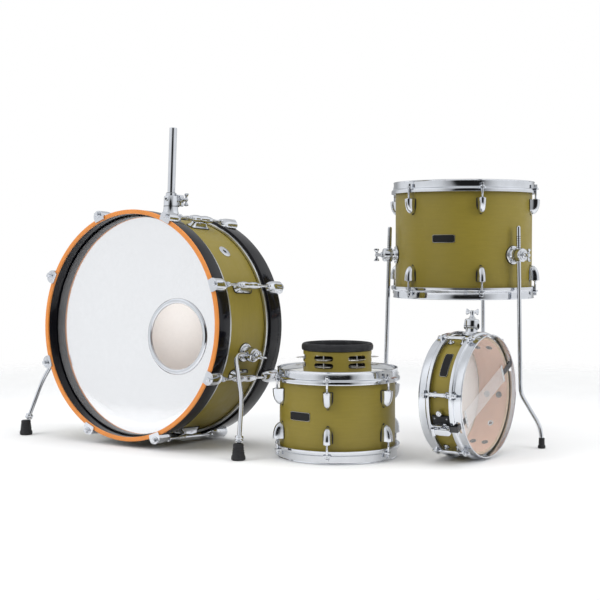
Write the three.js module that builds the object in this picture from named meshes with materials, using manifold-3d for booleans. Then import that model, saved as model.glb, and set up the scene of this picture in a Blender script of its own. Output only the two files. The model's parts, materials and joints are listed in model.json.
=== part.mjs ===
// A compact acoustic drum kit, standing as it is laid out for show: a shallow bass drum leaning back
// on two spurs, a floor tom on three legs, a rack tom standing on the floor with a small jingle drum on
// its head, and a thin snare drum on its edge.
// Millimetres and degrees, +X to the right, +Y to the back, +Z up, origin on the floor under the
// middle of the kit.
import * as THREE from "three";
import { mergeVertices } from "three/addons/utils/BufferGeometryUtils.js";
import Module from "manifold-3d";

const wasm = await Module();
wasm.setup();

// ---- Driving dimensions -------------------------------------------------------------------------

const GAP = 0.3; // air between separate pieces that touch
const FILM = 1; // thickness of a drumhead
const COLLAR = 12; // how far its rim reaches down the shell
const SHELL_WALL = 7;
const OVERLAP = 2; // how far joined features reach into each other
const ROD_SIDES = 5;
const TUBE_SIDES = 8;
const BOSS_SIDES = 12;
const BEND_ROUNDING = 14;

const BASS = {
  segments: 40,
  place: [-389, 97],
  yaw: 34.7, // its front looks this far to the left of -Y
  lean: 3.1, // and this far up
  shellRadius: 254,
  halfShell: 89,
  hoopRadius: 266,
  hoopWall: 10,
  hoopWidth: 44,
  halfDepth: 119.5, // to the hoops' outer faces
  inlayWidth: 5,
  fleshHoopHeight: 10,
  fleshHoopRadius: 261,
  stations: 8,
  firstStation: 23.8, // clockwise from the top, seen from the front
  rodRadius: 3.5,
  rodCircle: 274,
};
const PORT = { across: 126, up: -21, radius: 75, ringRadius: 86.5, ringThickness: 4, segments: 24 };
const POST = { radius: 9, bore: 7, low: 205, high: 472, behindMiddle: 21 };
const TOM_HOLDER = {
  plate: { thick: 7, halfWidth: 28, halfLength: 26 },
  sleeve: 17, // outer radius of the tube that the post slides in
  top: 316, // its end, out from the drum's axis
  ears: { low: 286, high: 314, halfWidth: 11, reach: 36 },
  halfSlit: 1.5,
  wing: { out: 302, behind: 27 },
};

// Each spur's rod runs forward from its eye, bends down and ends in its foot. Widths are from the
// drum's middle, fronts are ahead of it along the floor, and heights are above the floor.
const SPUR = {
  angle: 101.8,
  eyeRadius: 271.5,
  rod: 5,
  behindEye: 24,
  aheadOfEye: 56,
  knee: { across: 308, front: 90, height: 129 },
  end: { across: 325, front: 122, height: 38.5 },
  foot: { across: 327, front: 127, topRadius: 11, radius: 15.5, height: 36 },
};

const FLOOR_TOM = { place: [336.5, 174.3], bottom: 335.6, height: 278.1, shellRadius: 164, segments: 28 };
const LEG = {
  rod: 5,
  topRadius: 181,
  bendRadius: 191,
  footRadius: 258,
  top: 504,
  bend: 119,
  bracket: 439,
  ankle: { in: 4, height: 48 },
  end: 16,
  foot: { topRadius: 7, radius: 9, height: 24 },
};
const FLOOR_TOM_LUGS = 6.6; // first lug's bearing, from -Y towards +X
const FLOOR_TOM_LEGS = [36.6, 156.6, 276.6];

const RACK_TOM = { place: [22.3, -122.1], bottom: 0, height: 195, shellRadius: 127, segments: 24 };
const RACK_TOM_LUGS = -10.7;
const RACK_TOM_BRACKET = 139.3;
const RACK_TOM_EYE = 34; // its eye's axis, out from the shell

const SNARE = {
  place: [305.8, -162.7],
  heading: 55.4, // of its left-to-right diameter, from +X towards +Y
  depth: 101.9,
  shellRadius: 127,
  rimRadius: 137.5,
  segments: 24,
  lugEnd: 16,
  eyeOut: 22, // its bracket's eye, out from the shell
};
const SNARE_LUGS = 35; // clockwise from the top, seen from the wire side
const SNARE_BRACKET = 5;
const THROW_OFF = -115;
const BUTT = 65;

// The wires lie across the clear head, and at each end a strap leaves through a gate in the hoop.
const WIRES = { halfLength: 100, halfWidth: 20, thick: 1.6 };
const STRAP = { halfWidth: 7, thick: 1, out: 13, end: 14, gateHalfWidth: 13 };

// The throw-off and the butt plate, as limits across the drum's axis and along it from its middle.
const THROW = {
  base: { thick: 6, across: [-25, 15], along: [-21, 20] },
  body: { halfWidth: 11, along: [-20, 14] },
  cheeks: { out: 9, along: [-20, 8] },
  knob: { radius: 6.5, across: -33, thick: 10, tongue: 3, halfTongue: 4 },
  lever: { hub: 5, halfHub: 9, halfThick: 2, halfWidth: 7, length: 42, pivot: -11 },
};
const BUTT_PLATE = {
  base: { halfWidth: 13, along: [-14, 20] },
  clamp: { thick: 4, halfWidth: 11, along: [-10, 22] },
  bridge: [-10, 13],
};

// A flanged steel hoop, from its free edge towards the shell, and how it sits round the shell.
const RIM = {
  headDepth: 13, // from the free edge down to the head
  wall: 1.8,
  wallOut: 4.8, // outer face of the upright wall, out from the shell
  flangeOut: 10.5, // outer face of the lower flange, out from the shell
  wallDepth: 18.5,
  flangeDepth: 28,
  rodOut: 12.5, // tension rods, out from the shell
  rod: 3,
  keyHead: 9, // a rod's end above the step between wall and flange
  earHalfWidth: 9,
  earOut: 6, // past the rods
};
const LUG = { halfWidth: 10, length: 36, proud: 23, fromEdge: 43.5 };
const TUBE_LUG = { radius: 5, footHalfWidth: 2.5, footHalfLength: 5, fromEnd: 10 };

const JINGLE_DRUM = {
  segments: 24,
  shellRadius: 75,
  wall: 6,
  foot: 183,
  shellTop: 232,
  ringRadius: 79,
  ringTop: 248,
  slotWidth: 45,
  slotHeight: 11,
  rows: [202, 218],
  firstStation: -26,
};
const JINGLE = { radius: 19, thickness: 1.2, pin: 1.5, below: 3 }; // jingles lie below a slot's middle
const JINGLE_HEAD = { film: 4, ringWidth: 12, rounding: 3, shoulder: 10 };

const OLIVE = { color: 0x87793f, roughness: 0.45, metalness: 0 };
const CHROME = { color: 0xd8dade, roughness: 0.15, metalness: 1 };
const GLOSS_BLACK = { color: 0x17171b, roughness: 0.12, metalness: 0 };
const ORANGE = { color: 0xe58a3a, roughness: 0.35, metalness: 0 };
const WHITE_FILM = { color: 0xf2f2f2, roughness: 0.25, metalness: 0 };
const CLEAR_FILM = { color: 0xe6e2dc, roughness: 0.1, metalness: 0 };
const RUBBER = { color: 0x1c1c1e, roughness: 0.75, metalness: 0 };

// ---- Shapes -------------------------------------------------------------------------------------

const rad = THREE.MathUtils.degToRad;

function solidOf(geometry) {
  const bare = geometry.index ? geometry.toNonIndexed() : geometry.clone();
  bare.deleteAttribute("normal");
  bare.deleteAttribute("uv");
  const merged = mergeVertices(bare, 1e-4);
  return new wasm.Manifold(
    new wasm.Mesh({
      numProp: 3,
      vertProperties: new Float32Array(merged.attributes.position.array),
      triVerts: new Uint32Array(merged.index.array),
    }),
  );
}

function geometryOf(solid) {
  const { vertProperties, triVerts } = solid.getMesh();
  const geometry = new THREE.BufferGeometry();
  geometry.setAttribute("position", new THREE.BufferAttribute(vertProperties, 3));
  geometry.setIndex(new THREE.BufferAttribute(triVerts, 1));
  const flat = geometry.toNonIndexed();
  flat.computeVertexNormals();
  return flat;
}

const combine = (operation, first, rest) =>
  geometryOf(rest.reduce((body, piece) => body[operation](solidOf(piece)), solidOf(first)));
const join = (first, ...rest) => combine("add", first, rest);
const cut = (first, ...tools) => combine("subtract", first, tools);
const common = (first, ...rest) => combine("intersect", first, rest);

// A solid of revolution about +Z. Its [radius, height] corners go up the outside.
function turned(corners, segments) {
  const outline = corners.map(([radius, height]) => new THREE.Vector2(radius, height));
  return new THREE.LatheGeometry(outline, segments).rotateX(Math.PI / 2);
}

function ring(inner, outer, low, high, segments) {
  const corners = [
    [inner, low],
    [outer, low],
    [outer, high],
    [inner, high],
    [inner, low],
  ];
  return turned(corners, segments);
}

function rod(radius, low, high, sides = ROD_SIDES) {
  const length = high - low;
  return new THREE.CylinderGeometry(radius, radius, length, sides)
    .rotateX(Math.PI / 2)
    .translate(0, 0, low + length / 2);
}

// A cutter for a hole that clears a round rod of the given radius by the usual gap.
function hole(radius, low, high, sides = TUBE_SIDES) {
  return rod((radius + GAP) / Math.cos(Math.PI / sides), low, high, sides);
}

// A rod along +X.
const rodOut = (radius, low, high, sides) => rod(radius, low, high, sides).rotateY(Math.PI / 2);

function block([x0, x1], [y0, y1], [z0, z1]) {
  const box = new THREE.BoxGeometry(x1 - x0, y1 - y0, z1 - z0);
  return box.translate((x0 + x1) / 2, (y0 + y1) / 2, (z0 + z1) / 2);
}

// A flat outline drawn in X and Y, extruded from one height to another.
function prism(corners, low, high) {
  const shape = new THREE.Shape(corners.map(([x, y]) => new THREE.Vector2(x, y)));
  return new THREE.ExtrudeGeometry(shape, { depth: high - low, bevelEnabled: false }).translate(0, 0, low);
}

// The same outline drawn in Y and Z, extruded outward along +X.
function prismOut(corners, low, high) {
  const turn = new THREE.Matrix4().makeBasis(
    new THREE.Vector3(0, 1, 0),
    new THREE.Vector3(0, 0, 1),
    new THREE.Vector3(1, 0, 0),
  );
  return prism(corners, low, high).applyMatrix4(turn);
}

// The same outline drawn in X and Z, extruded sideways over a half width to each side.
function prismAcross(corners, halfWidth) {
  return prism(corners, -halfWidth, halfWidth).rotateX(Math.PI / 2);
}

// A round rod bent smoothly through a few points.
function bentRod(points, radius, steps) {
  const path = new THREE.CurvePath();
  let start = points[0];
  for (let i = 1; i < points.length - 1; i += 1) {
    const back = points[i - 1].clone().sub(points[i]).setLength(BEND_ROUNDING);
    const ahead = points[i + 1].clone().sub(points[i]).setLength(BEND_ROUNDING);
    const bendStart = points[i].clone().add(back);
    const bendEnd = points[i].clone().add(ahead);
    path.add(new THREE.LineCurve3(start, bendStart));
    path.add(new THREE.QuadraticBezierCurve3(bendStart, points[i], bendEnd));
    start = bendEnd;
  }
  path.add(new THREE.LineCurve3(start, points.at(-1)));
  const circle = Array.from({ length: TUBE_SIDES }, (_, i) => {
    const turn = (i / TUBE_SIDES) * 2 * Math.PI;
    return new THREE.Vector2(radius * Math.cos(turn), radius * Math.sin(turn));
  });
  const section = new THREE.Shape(circle);
  return new THREE.ExtrudeGeometry(section, { steps, extrudePath: path, bevelEnabled: false });
}

// ---- The scene graph ----------------------------------------------------------------------------

const kit = new THREE.Group();
const layout = new THREE.Group();
kit.add(layout);

function add(group, name, geometry, finish) {
  const mesh = new THREE.Mesh(geometry, new THREE.MeshStandardMaterial(finish));
  mesh.name = name;
  group.add(mesh);
  return mesh;
}

function groupAt(x, y, z) {
  const group = new THREE.Group();
  group.position.set(x, y, z);
  layout.add(group);
  return group;
}

// A feature drawn with +X pointing out of the drum, turned to its bearing about the drum's axis.
const atBearing = (geometry, bearing) => geometry.rotateZ(rad(bearing));

// Bearings of evenly spaced stations.
const stations = (count, first) => Array.from({ length: count }, (_, i) => first + (i * 360) / count);

// On a standing drum a bearing is counted from -Y towards +X; on a lying one, clockwise from the top.
const standing = (bearing) => bearing - 90;
const lying = (bearing) => 90 - bearing;

// ---- Pieces that several drums share ------------------------------------------------------------

// A drumhead: a film over the shell's edge, with a collar round it; its outer side faces +Z.
function drumhead({ shellRadius, segments }, edge) {
  const inner = shellRadius + GAP;
  const outer = inner + FILM * 0.8;
  const corners = [
    [0, edge],
    [inner, edge],
    [inner, edge - COLLAR],
    [outer, edge - COLLAR],
    [outer, edge + FILM],
    [0, edge + FILM],
  ];
  return turned(corners, segments);
}

// A flanged hoop with its tension rods, which clamps the head on the +Z side. The rods reach down to
// a given height, and into a lug each where one is given.
function rimSet({ shellRadius, segments }, edge, bearings, rodLow, lug) {
  const wall = shellRadius + RIM.wallOut;
  const flange = shellRadius + RIM.flangeOut;
  const step = edge - RIM.wallDepth;
  const foot = edge - RIM.flangeDepth;
  const hoop = turned(
    [
      [wall - RIM.wall, edge],
      [wall - RIM.wall, step],
      [flange - RIM.wall, foot],
      [flange, foot],
      [flange, step],
      [wall, step + RIM.wall],
      [wall, edge],
      [wall - RIM.wall, edge],
    ],
    segments,
  );
  const rodCircle = shellRadius + RIM.rodOut;
  const pieces = bearings.flatMap((bearing) => {
    const ear = block(
      [wall - 1, rodCircle + RIM.earOut],
      [-RIM.earHalfWidth, RIM.earHalfWidth],
      [step - RIM.wall, step + 1],
    );
    const tensionRod = rod(RIM.rod, rodLow, step + RIM.keyHead).translate(rodCircle, 0, 0);
    return [ear, tensionRod, ...lug].map((piece) => atBearing(piece.clone(), bearing));
  });
  return join(hoop, ...pieces);
}

// A lug with a flat end towards the hoop and a round end towards the middle of the shell.
function teardropLug(shellRadius, top) {
  const low = top - LUG.length + LUG.halfWidth;
  const outline = [
    [-LUG.halfWidth, top],
    [-LUG.halfWidth, low],
    [-LUG.halfWidth / 2, top - LUG.length],
    [LUG.halfWidth / 2, top - LUG.length],
    [LUG.halfWidth, low],
    [LUG.halfWidth, top],
  ];
  return prismOut(outline, shellRadius + GAP, shellRadius + LUG.proud);
}

// A turned tube held off the shell by two feet, which takes a tension rod at each end.
function tubeLug(shellRadius, top) {
  const { radius, footHalfWidth, footHalfLength, fromEnd } = TUBE_LUG;
  const circle = shellRadius + RIM.rodOut;
  const tube = rod(radius, -top, top).translate(circle, 0, 0);
  const foot = block(
    [shellRadius + GAP, circle],
    [-footHalfWidth, footHalfWidth],
    [-footHalfLength, footHalfLength],
  );
  const feet = [-1, 1].map((side) => foot.clone().translate(0, 0, side * (top - fromEnd)));
  return join(tube, ...feet);
}

// The same feature for the drum's other side. Bearings come out reversed.
const otherSide = (geometry) => geometry.rotateX(Math.PI);
const reversed = (bearings) => bearings.map((bearing) => -bearing);

// A round base on the shell, and on it a clamp whose eye runs along +Z under a round cap, for a rod of
// a given radius.
const BRACKET = {
  base: 21.5,
  baseThick: 8,
  neck: 11,
  eye: 14,
  eyeWall: 6,
  halfEye: 14,
  cap: 16.5,
  capOut: 3,
};
const eyeOuter = (rodRadius) => Math.max(BRACKET.eye, rodRadius + BRACKET.eyeWall);
const capFace = (eyeRadius, rodRadius) => eyeRadius + eyeOuter(rodRadius) + BRACKET.capOut;

function eyeBracket(shellRadius, eyeRadius, rodRadius) {
  const baseFace = shellRadius + BRACKET.baseThick;
  const base = rodOut(BRACKET.base, shellRadius + GAP, baseFace, BOSS_SIDES);
  const neck = rodOut(BRACKET.neck, baseFace - OVERLAP, eyeRadius, TUBE_SIDES);
  const outer = eyeOuter(rodRadius);
  const eye = rod(outer, -BRACKET.halfEye, BRACKET.halfEye, BOSS_SIDES).translate(eyeRadius, 0, 0);
  const cap = rodOut(BRACKET.cap, eyeRadius, capFace(eyeRadius, rodRadius), BOSS_SIDES);
  const bore = hole(rodRadius, -2 * BRACKET.halfEye, 2 * BRACKET.halfEye).translate(eyeRadius, 0, 0);
  return cut(join(base, neck, eye, cap), bore);
}

// A wing bolt that screws in from outside; its axis is +X and its wings lie along Z.
const WING = { hub: 6, hubLength: 12, root: 3, notch: 4, tipIn: 9, tip: 15, length: 19, halfThick: 1.8 };
function wingBolt(start) {
  const hub = rodOut(WING.hub, start + GAP, start + WING.hubLength, TUBE_SIDES);
  const upperHalf = [
    [start + WING.hubLength, WING.notch],
    [start + WING.length, WING.tipIn],
    [start + WING.length, WING.tip],
    [start + WING.hubLength, WING.tip],
    [start + WING.root, WING.hub],
  ];
  const lowerHalf = upperHalf.map(([out, across]) => [out, -across]).reverse();
  return join(hub, prismAcross([...upperHalf, ...lowerHalf], WING.halfThick));
}

// A rubber foot that widens to the floor.
function rubberFoot({ topRadius, radius, height }) {
  return turned(
    [
      [0, 0],
      [radius - 2, 0],
      [radius, 6],
      [topRadius, height],
      [0, height],
    ],
    TUBE_SIDES,
  );
}

// ---- Bass drum ----------------------------------------------------------------------------------

function bassFrame() {
  const group = new THREE.Group();
  const yaw = rad(BASS.yaw);
  const lean = rad(BASS.lean);
  const across = new THREE.Vector3(Math.cos(yaw), -Math.sin(yaw), 0);
  const level = new THREE.Vector3(-Math.sin(yaw), -Math.cos(yaw), 0);
  const front = level.multiplyScalar(Math.cos(lean)).setZ(Math.sin(lean));
  const up = front.clone().cross(across);
  const height = BASS.hoopRadius * Math.cos(lean) + BASS.halfDepth * Math.sin(lean);
  const turn = new THREE.Matrix4().makeBasis(across, up, front);
  group.applyMatrix4(turn.setPosition(BASS.place[0], BASS.place[1], height));
  layout.add(group);
  return group;
}

function woodHoop(outerFace, width) {
  const inner = BASS.hoopRadius - BASS.hoopWall;
  return ring(inner, BASS.hoopRadius, outerFace - width, outerFace, BASS.segments);
}

function bassHead() {
  const inner = BASS.shellRadius + GAP;
  const collar = inner + FILM * 0.8;
  const edge = BASS.halfShell + GAP;
  const hoopTop = BASS.halfDepth - BASS.hoopWidth - GAP;
  return turned(
    [
      [0, edge],
      [inner, edge],
      [inner, hoopTop - BASS.fleshHoopHeight],
      [BASS.fleshHoopRadius, hoopTop - BASS.fleshHoopHeight],
      [BASS.fleshHoopRadius, hoopTop],
      [collar, hoopTop],
      [collar, edge + FILM],
      [0, edge + FILM],
    ],
    BASS.segments,
  );
}

// A claw that hooks over a wooden hoop's outer face, with its square key bolt, on the +Z side.
const CLAW = { lip: 4, lipReach: 8, proud: 16, length: 46, halfWidth: 15.5, keyHead: 4.5, keyHeight: 8 };
function claw() {
  const face = BASS.halfDepth + GAP;
  const hoop = BASS.hoopRadius + GAP;
  const inner = BASS.hoopRadius - CLAW.lipReach;
  const outer = BASS.hoopRadius + CLAW.proud;
  const side = prismAcross(
    [
      [inner, face],
      [hoop, face],
      [hoop, face - CLAW.length + 6],
      [outer - 12, face - CLAW.length],
      [outer - 6, face - CLAW.length],
      [outer, face - CLAW.length + 18],
      [outer, face + CLAW.lip],
      [inner, face + CLAW.lip],
    ],
    CLAW.halfWidth,
  );
  const crown = prism(
    [
      [inner - 1, -CLAW.halfWidth],
      [outer - 11, -CLAW.halfWidth],
      [outer - 3, -CLAW.halfWidth * 0.7],
      [outer, -CLAW.halfWidth * 0.3],
      [outer, CLAW.halfWidth * 0.3],
      [outer - 3, CLAW.halfWidth * 0.7],
      [outer - 11, CLAW.halfWidth],
      [inner - 1, CLAW.halfWidth],
    ],
    face - CLAW.length - 1,
    face + CLAW.lip + 1,
  );
  const key = block(
    [BASS.rodCircle - CLAW.keyHead, BASS.rodCircle + CLAW.keyHead],
    [-CLAW.keyHead, CLAW.keyHead],
    [face + 1, face + CLAW.lip + CLAW.keyHeight],
  );
  return join(common(side, crown), key);
}

// One tension station: a claw and rod from each hoop to a double-ended lug in the middle.
const BASS_LUG = { halfBarrel: 37.5, barrel: 8.5, halfBase: 33, halfWidth: 11.5, baseThick: 6 };
function bassTensionSet() {
  const base = block(
    [BASS.shellRadius + GAP, BASS.shellRadius + BASS_LUG.baseThick],
    [-BASS_LUG.halfWidth, BASS_LUG.halfWidth],
    [-BASS_LUG.halfBase, BASS_LUG.halfBase],
  );
  const post = block(
    [BASS.shellRadius + BASS_LUG.baseThick - 1, BASS.rodCircle],
    [-BASS_LUG.barrel * 0.8, BASS_LUG.barrel * 0.8],
    [-BASS_LUG.halfBase * 0.6, BASS_LUG.halfBase * 0.6],
  );
  const barrel = rod(BASS_LUG.barrel, -BASS_LUG.halfBarrel, BASS_LUG.halfBarrel, TUBE_SIDES);
  const long = rod(BASS.rodRadius, -BASS.halfDepth, BASS.halfDepth);
  const rods = [barrel, long].map((piece) => piece.translate(BASS.rodCircle, 0, 0));
  return join(base, post, ...rods, claw(), otherSide(claw()));
}

function tomHolder() {
  const { plate, sleeve, top, ears, halfSlit } = TOM_HOLDER;
  const foot = BASS.shellRadius + GAP;
  const base = block(
    [foot, foot + plate.thick],
    [-plate.halfWidth, plate.halfWidth],
    [-plate.halfLength, plate.halfLength],
  );
  const tube = rodOut(sleeve, foot + plate.thick - OVERLAP, top, BOSS_SIDES);
  const ear = block([ears.low, ears.high], [-ears.halfWidth, ears.halfWidth], [-ears.reach, 0]);
  const bore = hole(POST.radius, foot - 5, top + 5, BOSS_SIDES).rotateY(Math.PI / 2);
  const slit = block([ears.low - 4, top + 5], [-halfSlit, halfSlit], [-ears.reach - 5, 0]);
  return cut(join(base, tube, ear), bore, slit).translate(0, 0, -POST.behindMiddle);
}

// The spur's route from inside its eye to the top of its foot, in the layout's own frame.
function spurRoute(group, side) {
  const bearing = rad(lying(side * SPUR.angle));
  const across = SPUR.eyeRadius * Math.cos(bearing);
  const up = SPUR.eyeRadius * Math.sin(bearing);
  const inEye = (front) => new THREE.Vector3(across, up, front).applyMatrix4(group.matrix);
  const level = new THREE.Matrix4().makeRotationZ(-rad(BASS.yaw)).setPosition(...BASS.place, 0);
  const onFloor = (spot, height) =>
    new THREE.Vector3(side * spot.across, -spot.front, height).applyMatrix4(level);
  return {
    points: [
      inEye(-SPUR.behindEye),
      inEye(SPUR.aheadOfEye),
      onFloor(SPUR.knee, SPUR.knee.height),
      onFloor(SPUR.end, SPUR.end.height),
    ],
    foot: onFloor(SPUR.foot, 0),
  };
}

function makeBassDrum() {
  const drum = bassFrame();
  drum.updateMatrix();
  const postHole = hole(POST.radius, POST.low, BASS.shellRadius + 10, BOSS_SIDES)
    .rotateX(-Math.PI / 2)
    .translate(0, 0, -POST.behindMiddle);
  const shellRing = ring(
    BASS.shellRadius - SHELL_WALL,
    BASS.shellRadius,
    -BASS.halfShell,
    BASS.halfShell,
    BASS.segments,
  );
  add(drum, "bass_drum_shell", cut(shellRing, postHole), OLIVE);

  const port = rod(PORT.radius, 0, BASS.halfDepth, PORT.segments).translate(PORT.across, PORT.up, 0);
  add(drum, "bass_drum_front_head", cut(bassHead(), port), WHITE_FILM);
  add(drum, "bass_drum_batter_head", otherSide(bassHead()), WHITE_FILM);
  const ringBack = BASS.halfShell + FILM + 2 * GAP;
  const ringFront = ringBack + PORT.ringThickness;
  const portRing = ring(PORT.radius, PORT.ringRadius, ringBack, ringFront, PORT.segments);
  add(drum, "bass_drum_port_ring", portRing.translate(PORT.across, PORT.up, 0), CHROME);

  const blackFace = BASS.halfDepth - BASS.inlayWidth - GAP;
  add(drum, "bass_drum_front_hoop", woodHoop(blackFace, BASS.hoopWidth - BASS.inlayWidth - GAP), GLOSS_BLACK);
  add(drum, "bass_drum_front_hoop_inlay", woodHoop(BASS.halfDepth, BASS.inlayWidth), ORANGE);
  add(drum, "bass_drum_rear_hoop", otherSide(woodHoop(BASS.halfDepth, BASS.hoopWidth)), GLOSS_BLACK);

  stations(BASS.stations, BASS.firstStation).forEach((bearing, i) => {
    add(drum, `bass_drum_tension_set_${i + 1}`, atBearing(bassTensionSet(), lying(bearing)), CHROME);
  });

  add(drum, "tom_holder", atBearing(tomHolder(), lying(0)), CHROME);
  const post = ring(POST.bore, POST.radius, POST.low, POST.high, BOSS_SIDES)
    .rotateX(-Math.PI / 2)
    .translate(0, 0, -POST.behindMiddle);
  add(drum, "tom_post", post, CHROME);
  const { ears, wing: wingPlace } = TOM_HOLDER;
  const wingBehind = POST.behindMiddle + wingPlace.behind;
  const upright = wingBolt(ears.halfWidth).rotateX(Math.PI / 2);
  const holderWing = upright.translate(0, wingPlace.out, -wingBehind);
  add(drum, "tom_holder_wing_bolt", holderWing, CHROME);

  for (const [label, side] of [["left", -1], ["right", 1]]) {
    const bearing = lying(side * SPUR.angle);
    const bracket = eyeBracket(BASS.shellRadius, SPUR.eyeRadius, SPUR.rod);
    add(drum, `spur_bracket_${label}`, atBearing(bracket, bearing), CHROME);
    const wing = wingBolt(capFace(SPUR.eyeRadius, SPUR.rod));
    add(drum, `spur_wing_bolt_${label}`, atBearing(wing, bearing), CHROME);
    const { points, foot } = spurRoute(drum, side);
    add(layout, `spur_leg_${label}`, bentRod(points, SPUR.rod, 14), CHROME);
    const tip = rubberFoot({ ...SPUR.foot, height: SPUR.foot.height - GAP });
    add(layout, `spur_foot_${label}`, tip.translate(foot.x, foot.y, 0), RUBBER);
  }
}

// ---- Toms ---------------------------------------------------------------------------------------

function makeTom(name, tom, lugBearings) {
  const { place, bottom, height, shellRadius, segments } = tom;
  const middle = height / 2;
  const drum = groupAt(place[0], place[1], bottom + middle);
  const edge = middle - RIM.headDepth - FILM;
  const bearings = lugBearings.map(standing);
  const shell = ring(shellRadius - SHELL_WALL, shellRadius, -edge + GAP, edge - GAP, segments);
  add(drum, `${name}_shell`, shell, OLIVE);
  add(drum, `${name}_batter_head`, drumhead(tom, edge), WHITE_FILM);
  add(drum, `${name}_resonant_head`, otherSide(drumhead(tom, edge)), CLEAR_FILM);
  const lugTop = middle - LUG.fromEdge;
  const rimAt = (turns) => rimSet(tom, middle, turns, lugTop - OVERLAP, [teardropLug(shellRadius, lugTop)]);
  add(drum, `${name}_top_rim`, rimAt(bearings), CHROME);
  const bottomRim = rimAt(reversed(bearings));
  add(drum, `${name}_bottom_rim`, otherSide(bottomRim), CHROME);
  return drum;
}

const LEG_BORE = LEG.rod + 0.4; // its bracket's eye, which has to clear the rod's slight lean

// How far a leg's upper part leans outward over each millimetre down.
const LEG_SLOPE = (LEG.bendRadius - LEG.topRadius) / (LEG.top - LEG.bend);

// A leg that stands down from its bracket, bends outward and then straight down into its foot.
function tomLeg() {
  const points = [
    [LEG.topRadius, LEG.top],
    [LEG.bendRadius, LEG.bend],
    [LEG.footRadius - LEG.ankle.in, LEG.ankle.height],
    [LEG.footRadius, LEG.end],
  ].map(([radius, height]) => new THREE.Vector3(radius, 0, height));
  const foot = rubberFoot(LEG.foot).translate(LEG.footRadius, 0, 0);
  return join(bentRod(points, LEG.rod, 18), foot);
}

function makeFloorTom() {
  const drum = makeTom("floor_tom", FLOOR_TOM, stations(6, FLOOR_TOM_LUGS));
  const onFloor = groupAt(...FLOOR_TOM.place, 0);
  const eyeRadius = LEG.topRadius + LEG_SLOPE * (LEG.top - LEG.bracket);
  const bracketHeight = LEG.bracket - FLOOR_TOM.bottom - FLOOR_TOM.height / 2;
  FLOOR_TOM_LEGS.forEach((bearing, i) => {
    const turn = standing(bearing);
    const atLeg = (geometry) => atBearing(geometry.translate(0, 0, bracketHeight), turn);
    const bracket = eyeBracket(FLOOR_TOM.shellRadius, eyeRadius, LEG_BORE);
    add(drum, `floor_tom_leg_bracket_${i + 1}`, atLeg(bracket), CHROME);
    add(drum, `floor_tom_wing_bolt_${i + 1}`, atLeg(wingBolt(capFace(eyeRadius, LEG_BORE))), CHROME);
    add(onFloor, `floor_tom_leg_${i + 1}`, atBearing(tomLeg(), turn), CHROME);
  });
}

function makeRackTom() {
  const drum = makeTom("rack_tom", RACK_TOM, stations(6, RACK_TOM_LUGS));
  const turn = standing(RACK_TOM_BRACKET);
  const eyeRadius = RACK_TOM.shellRadius + RACK_TOM_EYE;
  const boreRadius = POST.radius + 0.5;
  const bracket = eyeBracket(RACK_TOM.shellRadius, eyeRadius, boreRadius);
  add(drum, "rack_tom_bracket", atBearing(bracket, turn), CHROME);
  const wing = wingBolt(capFace(eyeRadius, boreRadius));
  add(drum, "rack_tom_wing_bolt", atBearing(wing, turn), CHROME);
}

// ---- Snare drum ---------------------------------------------------------------------------------

function snareFrame() {
  const turn = rad(SNARE.heading);
  const wireSide = new THREE.Vector3(Math.sin(turn), -Math.cos(turn), 0);
  const across = new THREE.Vector3(Math.cos(turn), Math.sin(turn), 0);
  const basis = new THREE.Matrix4().makeBasis(across, new THREE.Vector3(0, 0, 1), wireSide);
  const group = new THREE.Group();
  group.applyMatrix4(basis.setPosition(SNARE.place[0], SNARE.place[1], SNARE.rimRadius));
  layout.add(group);
  return group;
}

function snareWires(lie, outside) {
  const { halfLength, halfWidth, thick } = WIRES;
  const band = block([-halfLength, halfLength], [-halfWidth, halfWidth], [lie, lie + thick]);
  const width = [-STRAP.halfWidth, STRAP.halfWidth];
  const low = lie + (thick - STRAP.thick) / 2;
  const straps = [0, 180].flatMap((side) => [
    block([halfLength - OVERLAP, outside + STRAP.thick], width, [low, low + STRAP.thick]).rotateZ(rad(side)),
    block([outside, outside + STRAP.thick], width, [STRAP.end, low + STRAP.thick]).rotateZ(rad(side)),
  ]);
  return join(band, ...straps);
}

function throwOff(outside) {
  const { base, body, cheeks, knob } = THROW;
  const { shellRadius } = SNARE;
  const width = [-body.halfWidth, body.halfWidth];
  const foot = shellRadius + GAP;
  return join(
    block([foot, shellRadius + base.thick], base.across, base.along),
    block([shellRadius + base.thick - 1, outside - GAP], width, body.along),
    block([outside - 1 - GAP, outside + cheeks.out], width, cheeks.along),
    block([foot, foot + knob.tongue], [knob.across, base.across[0] + 1], [-knob.halfTongue, knob.halfTongue]),
    rodOut(knob.radius, foot, shellRadius + knob.thick, BOSS_SIDES).translate(0, knob.across, 0),
  );
}

function throwOffLever(outside) {
  const { hub, halfHub, halfThick, halfWidth, length, pivot } = THROW.lever;
  const axis = outside + THROW.cheeks.out + GAP + hub;
  const hubRod = rod(hub, -halfHub, halfHub, TUBE_SIDES).rotateX(Math.PI / 2);
  const plate = block([-halfThick, halfThick], [-halfWidth, halfWidth], [0, length]);
  return join(hubRod, plate).translate(axis, 0, pivot);
}

function buttPlate(outside) {
  const { base, clamp, bridge } = BUTT_PLATE;
  const clampFace = outside + STRAP.thick + GAP;
  const width = [-clamp.halfWidth, clamp.halfWidth];
  return join(
    block([SNARE.shellRadius + GAP, outside - GAP], [-base.halfWidth, base.halfWidth], base.along),
    block([outside - 1, clampFace + 1], width, bridge),
    block([clampFace, clampFace + clamp.thick], width, clamp.along),
  );
}

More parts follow.
